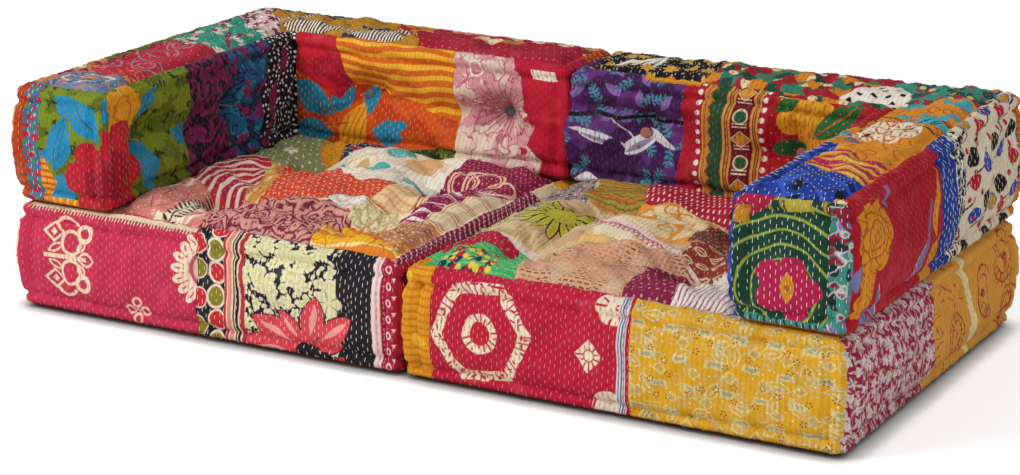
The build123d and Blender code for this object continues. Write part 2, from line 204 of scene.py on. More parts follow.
class Cushion:
    """A boxed cushion: a level outline made of rectangles, its sides in turn, and what swells and dimples it."""

    def __init__(self, name, plan, corners, bands, low, high, crown, tufts, folds, seed, feel):
        self.name = name
        self.sense = -1 if name.startswith("left") else 1
        self.mirror = np.array([self.sense, 1, 1])
        self.plan = plan
        self.low = low
        self.high = high
        self.crown = crown
        self.tufts = tufts
        self.folds = folds
        self.seed = seed + feel.seed + 7 * self.sense
        self.pushes = PUSHES[name]
        self.feel = feel
        corners = [np.array(corner, float) for corner in corners]
        self.sides = []
        for i, (band_name, swell) in enumerate(bands):
            before, start, end, after = (corners[(i + step) % len(corners)] for step in (-1, 0, 1, 2))
            self.sides.append(Side(band_name, swell, before, start, end, after))

    def core(self, points, inset):
        """Closest point of the form after each of its faces has moved inwards."""
        best, gap = None, None
        for low_x, high_x, low_y, high_y in self.plan:
            low = np.array([low_x, low_y, self.low]) + inset
            high = np.array([high_x, high_y, self.high]) - inset
            near = np.clip(points, low, high)
            reach = np.linalg.norm(points - near, axis=1)
            if best is None:
                best, gap = near, reach
            else:
                closer = reach < gap
                best = np.where(closer[:, None], near, best)
                gap = np.minimum(gap, reach)
        return best

    def relief(self, points, facing):
        """How far the cloth stands out from the plain form at each point, in millimetres."""
        seed, feel, strength = self.seed, self.feel, EDGE_GATHERS[self.name]
        inward = np.maximum(depth_in_plan(points, self.plan), 0)
        rise = np.minimum(points[:, 2] - self.low, self.high - points[:, 2])
        edge = inward + rise
        on_side = 1 - ease(inward, 0.5, 6)

        # Which side each point is nearest, how far along it, and how far from a corner that stands out
        nearest = np.full(len(points), FAR)
        along = np.zeros(len(points))
        corner = np.full(len(points), FAR)
        for i, side in enumerate(self.sides):
            run = side.run(points)
            over = np.maximum(np.maximum(-run, run - side.length), 0)
            gap = np.hypot(side.off(points), over)
            closer = gap < nearest - SAME_PLACE
            nearest = np.where(closer, gap, nearest)
            along = np.where(closer, run + SIDE_STRIDE * i, along)
            for stands_out, place in zip(side.stands_out, (run, side.length - run)):
                if stands_out:
                    corner = np.where(gap < 1, np.minimum(corner, np.abs(place)), corner)

        # Stitched roll along every edge, with its gathers
        wander = 2.5 * ripple(points, 160, seed + 1)
        line = along[:, None]
        gathers = strength * (0.8 * ripple(line, 30, seed + 2) + 0.5 * ripple(line, 95, seed + 7))
        groove = bell(edge - feel.groove_place - wander, feel.groove_width)
        total = -feel.groove_depth * groove * (1 + 0.3 * gathers)
        total += feel.roll_rise * bell(edge - 9, 13) * (0.8 + 0.45 * gathers)
        creases = strength * np.maximum(ripple(line, 44, seed + 4), 0) ** 1.3
        total -= feel.gather_depth * creases * np.exp(-np.abs(edge - feel.groove_place) / 26)

        # The same roll up each corner that stands out
        clear = ease(rise, 12, 34) * on_side
        level = points[:, 2:3] + 77 * np.round(along / SIDE_STRIDE)[:, None]
        upright = strength * ripple(level, 28, seed + 3)
        groove = bell(corner - feel.groove_place - wander * 0.6, feel.groove_width)
        total -= feel.groove_depth * groove * clear * (1 + 0.3 * upright)
        total += feel.roll_rise * bell(corner - 8, 13) * clear * (0.6 + 0.5 * upright)

        # Crown of the top panel
        total += self.crown(points) * ease(facing[:, 2], 0.3, 0.9)

        # Tufts: a pit, and pleats that fan out of it
        rng = np.random.default_rng(seed + 9)
        for tuft in self.tufts:
            offset = points - tuft.place
            same_face = ease(facing @ tuft.normal, 0.5, 0.9)
            distance = np.linalg.norm(offset, axis=1)
            if abs(tuft.normal[2]) > 0.5:
                across, up = offset[:, 0], offset[:, 1]
            else:
                across, up = offset[:, :2] @ np.array([-tuft.normal[1], tuft.normal[0]]), offset[:, 2]
            turn = np.arctan2(up, across)
            pleats = np.zeros(len(points))
            for waves in range(4, 15):
                pleats += rng.uniform(0.3, 1) * np.cos(
                    waves * turn + rng.uniform(0, 2 * math.pi) + distance * rng.uniform(-0.008, 0.008)
                )
            fold = 0.55 - np.abs(pleats / 3) ** 0.8
            dip = 0.45 * np.exp(-distance / (0.45 * tuft.reach)) + 0.55 * bell(distance, tuft.reach)
            total -= same_face * tuft.pit * dip
            fan = same_face * feel.pleat_share * tuft.pit * fold
            total += fan * np.exp(-distance / (1.1 * tuft.reach)) * ease(distance, 8, 26)

        # Valleys from tuft to tuft
        for tuft, end in self.valleys():
            run = end - tuft.place
            share = np.clip((points - tuft.place) @ run / (run @ run), 0, 1)
            sway = 9 * ripple(points, 150, seed + 6)
            gap = np.linalg.norm(points - tuft.place - share[:, None] * run, axis=1)
            depth = feel.valley_share * tuft.pit * (1 + 0.35 * ripple(points, 110, seed + 5))
            total -= ease(facing @ tuft.normal, 0.5, 0.9) * depth * bell(gap + sway, VALLEY_WIDTH)

        # Uneven stuffing, folds across the top, then creases of the quilted cloth
        body = ease(edge, 25, 70)
        calm = 0.35 + 0.65 * ease(corner, 12, 80)
        total += feel.lumps * ripple(points, 150, seed + 11) * body * calm
        if self.folds:
            ridges = ripple(np.stack([along, 0.35 * inward], 1), 74, seed + 14)
            upper = ease(facing[:, 2], 0.4, 0.9)
            total += self.folds * upper * ease(edge, 16, 45) * (0.5 - np.abs(ridges))
        total += feel.creases * ripple(points * np.array([1, 1, 0.8]), 52, seed + 12) * (0.3 + 0.7 * body) * calm
        total += feel.wrinkles * (0.6 - np.abs(ripple(points, 21, seed + 13))) * (0.3 + 0.7 * body) * calm
        underneath = ease(-facing[:, 2], 0.3, 0.8)
        return total * (1 - 0.93 * underneath)

    def valleys(self):
        """Each pair of neighbouring tufts on one face: the first tuft and the place of the second."""
        pairs = []
        for i, tuft in enumerate(self.tufts):
            for other in self.tufts[i + 1:]:
                near = np.linalg.norm(other.place - tuft.place) < LONGEST_VALLEY
                if near and np.allclose(tuft.normal, other.normal):
                    pairs.append((tuft, other.place))
        return pairs

    def covered(self, points):
        """1 where another cushion lies on this one, 0 elsewhere."""
        if self.low > 1:
            return np.zeros(len(points))
        under = np.maximum(points[:, 0] - ARM_SEAM, points[:, 1] - REST_SEAM)
        return ease(under, -8, 4) * ease(points[:, 2], self.high - 6, self.high - 1)

    def shaped(self, points):
        """Where each point of the plain form lies on the finished cushion, on the right-hand module."""
        core = self.core(points, EDGE_ROLL)
        soft = unit(points - self.core(points, 2 * EDGE_ROLL))
        relief = self.relief(points, soft)
        covered = self.covered(points)
        relief = relief * (1 - covered) + np.minimum(relief, 0.3) * covered
        placed = core + unit(points - core) * EDGE_ROLL + soft * relief[:, None]

        # The outline swells between its two rolled edges
        share = np.clip((points[:, 2] - self.low) / (self.high - self.low), 0, 1)
        belly = np.sin(math.pi * share) ** 0.6
        for side in self.sides:
            run = side.run(points)
            beside = ease(run, -20, 10) * ease(side.length - run, -20, 10)
            near = (1 - ease(-side.off(points), 0, 60)) * beside
            placed[:, :2] += side.outward * (side.swell * belly * near)[:, None]
        for centre, reach, move in self.pushes:
            near = bell(np.linalg.norm((points - centre) / reach, axis=1), 1)
            placed += near[:, None] * np.array(move)
        placed[:, 2] = np.maximum(placed[:, 2], self.low)
        return placed


def seat_crown(height):
    """A crown over the sitting part, soft towards the open sides and steep beside the bolster."""
    def rise(points):
        x, y = points[:, 0], points[:, 1]
        total = np.full(len(points), float(height))
        open_run, bolster_run = 105, 46
        for gap, run in (
            (x - INNER_SEAM - 10, open_run), (ARM_SEAM - 9 - x, bolster_run),
            (y - FRONT_SEAM - 10, open_run), (REST_SEAM - 9 - y, bolster_run),
        ):
            total *= 1 - (1 - np.clip(gap / run, 0, 1)) ** CROWN_CURVE
        return total
    return rise


def bolster_crown(plan, height):
    def rise(points):
        share = np.clip((depth_in_plan(points, plan) - 18) / 50, 0, 1)
        return height * (1 - (1 - share) ** CROWN_CURVE)
    return rise


def seat(name, feel):
    low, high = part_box("right_seat_buttons")
    tufts = [
        Tuft([x, y, SEAT_TOP], [0, 0, 1], feel.seat_pit, SEAT_TUFT_REACH)
        for x in (low.x / MM + BUTTON_RADIUS, high.x / MM - BUTTON_RADIUS)
        for y in (low.y / MM + BUTTON_RADIUS, high.y / MM - BUTTON_RADIUS)
    ]
    plan = [(INNER_SEAM, OUTER_SEAM, FRONT_SEAM, BACK_SEAM)]
    corners = [(INNER_SEAM, FRONT_SEAM), (OUTER_SEAM, FRONT_SEAM), (OUTER_SEAM, BACK_SEAM), (INNER_SEAM, BACK_SEAM)]
    bands = [
        ("front_band", FRONT_SWELL), ("outer_band", OUTER_SWELL),
        ("back_band", FRONT_SWELL), ("inner_band", PRESSED_SWELL),
    ]
    return Cushion(name, plan, corners, bands, 0, SEAT_TOP, seat_crown(feel.seat_crown), tufts, 0, 100, feel)


def bolster(name, feel):
    low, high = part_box("right_bolster_buttons")
    height = (low.z + high.z) / 2 / MM
    first_x, first_y = low.x / MM + BUTTON_RADIUS, low.y / MM + BUTTON_RADIUS
    tufts = [
        Tuft([x, REST_SEAM, height], [0, -1, 0], feel.bolster_pit, BOLSTER_TUFT_REACH)
        for x in (first_x, first_x + BOLSTER_TUFT_PITCH)
    ]
    tufts += [
        Tuft([ARM_SEAM, y, height], [-1, 0, 0], feel.bolster_pit, BOLSTER_TUFT_REACH)
        for y in (first_y, first_y + BOLSTER_TUFT_PITCH)
    ]
    plan = [(ARM_SEAM, OUTER_SEAM, FRONT_SEAM, BACK_SEAM), (INNER_SEAM, OUTER_SEAM, REST_SEAM, BACK_SEAM)]
    corners = [
        (ARM_SEAM, FRONT_SEAM), (OUTER_SEAM, FRONT_SEAM), (OUTER_SEAM, BACK_SEAM),
        (INNER_SEAM, BACK_SEAM), (INNER_SEAM, REST_SEAM), (ARM_SEAM, REST_SEAM),
    ]
    bands = [
        ("arm_front_band", FRONT_SWELL), ("arm_outer_band", OUTER_SWELL), ("back_outer_band", FRONT_SWELL),
        ("back_end_band", PRESSED_SWELL), ("back_inner_band", FRONT_SWELL), ("arm_inner_band", FRONT_SWELL),
    ]
    return Cushion(
        name, plan, corners, bands, BOLSTER_BASE, BOLSTER_TOP, bolster_crown(plan, feel.bolster_crown),
        tufts, feel.top_folds, 300, feel,
    )


# Prints: a shape gives the distance to its edge over the cloth, in millimetres, below zero inside it


DYE_EDGE = 1.6


class Field:
    """A number that varies over the cloth, worked out by shader nodes."""

    def __init__(self, tree, socket):
        self.tree = tree
        self.socket = socket

    def op(self, name, *others, clamp=False):
        inputs = dict(enumerate((self,) + others))
        node = add_node(self.tree, "ShaderNodeMath", inputs, operation=name, use_clamp=clamp)
        return Field(self.tree, node.outputs[0])

    def __add__(self, other):
        return self.op("ADD", other)

    def __sub__(self, other):
        return self.op("SUBTRACT", other)

    def __mul__(self, other):
        return self.op("MULTIPLY", other)

    def __truediv__(self, other):
        return self.op("DIVIDE", other)

    def __neg__(self):
        return self.op("MULTIPLY", -1)

    def __abs__(self):
        return self.op("ABSOLUTE")

    def mask(self):
        """1 inside, 0 outside, with an edge as soft as dye in cotton."""
        return self.op("MULTIPLY_ADD", -1 / DYE_EDGE, 0.5, clamp=True)


def wire(tree, node, inputs):
    """Links each input that is given a field or a socket, and sets the others."""
    for name, value in inputs.items():
        if isinstance(value, Field):
            value = value.socket
        if isinstance(value, bpy.types.NodeSocket):
            tree.links.new(value, node.inputs[name])
        else:
            node.inputs[name].default_value = value


def add_node(tree, kind, inputs, **settings):
    """A new node with its settings made, and then its inputs linked or set."""
    node = tree.nodes.new(kind)
    for name, value in settings.items():
        setattr(node, name, value)
    wire(tree, node, inputs)
    return node


def parted(tree, place):
    """The first two parts of a vector, as fields."""
    split = add_node(tree, "ShaderNodeSeparateXYZ", {0: place})
    return Field(tree, split.outputs[0]), Field(tree, split.outputs[1])


def vector(x, y, z=0.0):
    return add_node(x.tree, "ShaderNodeCombineXYZ", {0: x, 1: y, 2: z}).outputs[0]


def noise(x, y, size, seed, detail=2.0):
    inputs = {"Scale": 1 / size, "Detail": detail, "Vector": vector(x, y, seed * 37.0)}
    return Field(x.tree, add_node(x.tree, "ShaderNodeTexNoise", inputs).outputs["Fac"])


def radius_of(x, y):
    return (x * x + y * y).op("SQRT")


def disc(radius, squash=1.0):
    return lambda x, y: radius_of(x, y * squash) - radius


def ring(radius, width, squash=1.0):
    return lambda x, y: abs(radius_of(x, y * squash) - radius) - width / 2


def box(width, height):
    return lambda x, y: (abs(x) - width / 2).op("MAXIMUM", abs(y) - height / 2)


def hexagon(reach):
    """Six sides with soft corners, level at the top and the foot."""
    def shape(x, y):
        sides = abs(y).op("MAXIMUM", abs(x) * 0.866 + abs(y) * 0.5)
        return sides * 0.8 + radius_of(x, y) * 0.2 - reach
    return shape


def diamond(width, height):
    return lambda x, y: (abs(x) + abs(y) * (width / height)) * 0.7 - 0.35 * width


def leaf(length, width):
    """A pointed oval along x."""
    return lambda x, y: abs(y) + x * x * (2 * width / length**2) - width / 2


def flower(radius, petals, depth=0.35):
    def shape(x, y):
        lobes = abs((y.op("ARCTAN2", x) * (petals / 2)).op("COSINE"))
        return radius_of(x, y) - lobes * (radius * depth) - radius * (1 - depth)
    return shape


def around(count, inner):
    """Copies of a shape turned about the origin. The shape lies on the x axis."""
    step = 2 * math.pi / count

    def shape(x, y):
        far = radius_of(x, y)
        turn = ((y.op("ARCTAN2", x) / step).op("FRACT") - 0.5) * step
        return inner(far * turn.op("COSINE"), far * turn.op("SINE"))
    return shape


def repeated(value, pitch, width, shift=0.0):
    """Lines of one width, one in the middle of each pitch of a value."""
    return abs((value / pitch + shift).op("FRACT") - 0.5) * pitch - width / 2


def stripes(pitch, width):
    """Stripes along y."""
    return lambda x, y: repeated(x, pitch, width)


def rows(pitch, width, shift=0.0):
    """Stripes along x, moved by a share of their pitch."""
    return lambda x, y: repeated(y, pitch, width, shift)


def rings(pitch, width, squash=1.0):
    """Circles about the origin, one outside the other."""
    return lambda x, y: repeated(radius_of(x, y * squash), pitch, width)


def at(cx, cy, inner, turn=0.0):
    c, s = math.cos(math.radians(turn)), math.sin(math.radians(turn))

    def shape(x, y):
        x, y = x - cx, y - cy
        if not turn:
            return inner(x, y)
        return inner(x * c + y * s, y * c - x * s)
    return shape


def line(inner, width):
    return lambda x, y: abs(inner(x, y)) - width / 2


def grown(inner, amount):
    return lambda x, y: inner(x, y) - amount


def either(*shapes):
    def shape(x, y):
        total = shapes[0](x, y)
        for other in shapes[1:]:
            total = total.op("MINIMUM", other(x, y))
        return total
    return shape


def both(first, second):
    return lambda x, y: first(x, y).op("MAXIMUM", second(x, y))


def outside(inner):
    return lambda x, y: -inner(x, y)


def less(first, second):
    return both(first, outside(second))


def tiled(width, height, inner, shift=0.0):
    """A shape in every cell of a grid, each row moved by a share of a cell."""
    def shape(x, y):
        row = y / height
        across = x / width
        if shift:
            across = across + row.op("FLOOR") * shift
        return inner((across.op("FRACT") - 0.5) * width, (row.op("FRACT") - 0.5) * height)
    return shape


def in_row(pitch, inner):
    """A shape repeated along x only."""
    return lambda x, y: inner(((x / pitch).op("FRACT") - 0.5) * pitch, y)


def in_column(pitch, inner):
    """A shape repeated along y only."""
    return lambda x, y: inner(x, ((y / pitch).op("FRACT") - 0.5) * pitch)


def mirrored(level, inner):
    """A shape and its reflection above and below a level line."""
    return lambda x, y: inner(x, abs(y - level))


def strewn(size, inner, seed=1, turned=True):
    """A shape strewn over the cloth about a spacing apart, each turned its own way."""
    def shape(x, y):
        tree = x.tree
        across, up = x / size + seed * 17.3, y / size
        inputs = {"Scale": 1.0, "Randomness": 0.8, "Vector": vector(across, up)}
        cells = add_node(tree, "ShaderNodeTexVoronoi", inputs, voronoi_dimensions="2D")
        middle_x, middle_y = parted(tree, cells.outputs["Position"])
        dx, dy = (across - middle_x) * size, (up - middle_y) * size
        if not turned:
            return inner(dx, dy)
        own = add_node(tree, "ShaderNodeSeparateColor", {0: cells.outputs["Color"]})
        turn = Field(tree, own.outputs[0]) * (2 * math.pi)
        c, s = turn.op("COSINE"), turn.op("SINE")
        return inner(dx * c + dy * s, dy * c - dx * s)
    return shape


def wavy(inner, size, amount, seed=1):
    """A shape on cloth coordinates that wander, as in a hand print."""
    def shape(x, y):
        return inner(x + (noise(x, y, size, seed, 1.0) - 0.5) * (2 * amount),
                     y + (noise(x, y, size, seed + 5, 1.0) - 0.5) * (2 * amount))
    return shape


def blotches(size, level, seed=1, detail=2.0):
    """Soft-edged islands; a lower level makes them larger."""
    return lambda x, y: (noise(x, y, size, seed, detail) - level) * (-2.2 * size)


def veins(size, width, seed=1, detail=1.0):
    """Thin wandering lines."""
    return lambda x, y: abs(noise(x, y, size, seed, detail) - 0.5) * (2.2 * size) - width / 2


def contours(size, step, width, seed=1):
    """Lines like the rings of wood."""
    def shape(x, y):
        return repeated(noise(x, y, size, seed, 0.0) * (size * 1.6), step, width)
    return shape


def dots(pitch, radius, shift=0.5):
    return tiled(pitch, pitch, disc(radius), shift)


def dashes(pitch, length, width, gap=1.6):
    """Short marks along y in staggered rows."""
    return tiled(pitch, length * gap, box(width, length), 0.5)


def below(limit):
    return lambda x, y: y - limit


def above(limit):
    return lambda x, y: -y + limit


def left_of(limit):
    return lambda x, y: x - limit


def right_of(limit):
    return lambda x, y: -x + limit


def linear(code):
    """A colour written as sRGB, made linear."""
    shares = [int(code[i:i + 2], 16) / 255 for i in (1, 3, 5)]
    return tuple(s / 12.92 if s <= 0.04045 else ((s + 0.055) / 1.055) ** 2.4 for s in shares) + (1.0,)


# Motifs that several cloths share


def sprig(length, pitch=15, reach=17):
    """A stem with slanting leaflets on both sides, along x."""
    leaflets = in_row(pitch, either(at(0, reach * 0.45, leaf(reach, 5), 58), at(0, -reach * 0.45, leaf(reach, 5), -58)))
    return both(either(box(length, 3), leaflets), box(length, 2 * reach))


def daisy(radius, petals, width):
    return either(around(petals, at(radius * 0.62, 0, leaf(radius * 0.78, width))), disc(radius * 0.36))


def rays(count, width, first, last):
    """Straight rays between two distances from the origin."""
    return both(around(count, band(-width / 2, width / 2)), less(disc(last), disc(first)))


def petals_at(*petals):
    """Pointed petals, each given by its root, its tip and its width."""
    shapes = []
    for x0, y0, x1, y1, width in petals:
        length = math.hypot(x1 - x0, y1 - y0)
        turn = math.degrees(math.atan2(y1 - y0, x1 - x0))
        shapes.append(at((x0 + x1) / 2, (y0 + y1) / 2, leaf(length, width), turn))
    return either(*shapes)


def leaves(*places):
    """Pointed ovals, each given by its middle, length, width and turn."""
    return either(*(at(x, y, leaf(length, width), *turn) for x, y, length, width, *turn in places))


def discs_at(radius, *places, squash=1.0):
    return either(*(at(x, y, disc(radius, squash)) for x, y in places))


def set_at(inner, *places):
    """Copies of one shape, each given by its place and turn."""
    return either(*(at(x, y, inner, turn) for x, y, turn in places))


def strip(left, right):
    return at((left + right) / 2, 0, lambda x, y: abs(x) - (right - left) / 2)


def band(low, high):
    return lambda x, y: abs(y - (low + high) / 2) - (high - low) / 2


# Each cloth: its ground, the thread of its running stitches, then its printed layers from the lowest up


ORNAMENT = mirrored(112, either(
    at(-700, 0, box(92, 8)), at(-655, 0, line(leaf(34, 24), 5)),
    at(-660, 46, ring(13, 8)), at(-688, 27, ring(21, 6)), at(-666, 21, line(leaf(22, 11), 4), 52),
    at(-726, 44, line(diamond(40, 34), 5)), at(-726, 44, diamond(14, 14)), at(-722, 16, line(leaf(30, 12), 4), 28),
    both(at(-700, 44, ring(28, 6)), above(58)),
))

HALF_SUN = either(at(-394, 130, around(19, at(57, 0, disc(16, 1.85)))), at(-394, 130, ring(41, 9)))

LILY = either(
    petals_at(
        (-184, 30, -166, 120, 46), (-166, 34, -94, 90, 42), (-198, 34, -246, 82, 36), (-206, 24, -300, 66, 46),
        (-200, 14, -336, 6, 54), (-176, 30, -112, 40, 34),
    ),
    at(-196, 30, disc(24)), at(-121, 2, flower(16, 5, 0.3)),
)

FEATHERS = ((-590, 262, 10), (-455, 262, -6), (-655, 300, 52), (-395, 300, 18))

TAN_BRICKS = wavy(tiled(13, 5.6, box(8.5, 1.7), 0.5), 60, 5)


def loose_berries(x, y, radius, squash=1.45, scale=1):
    """One kind of berry in each cell of a hand-printed branch cloth."""
    return wavy(tiled(104 * scale, 78 * scale, at(x, y, disc(radius, squash)), 0.5), 30, 5)


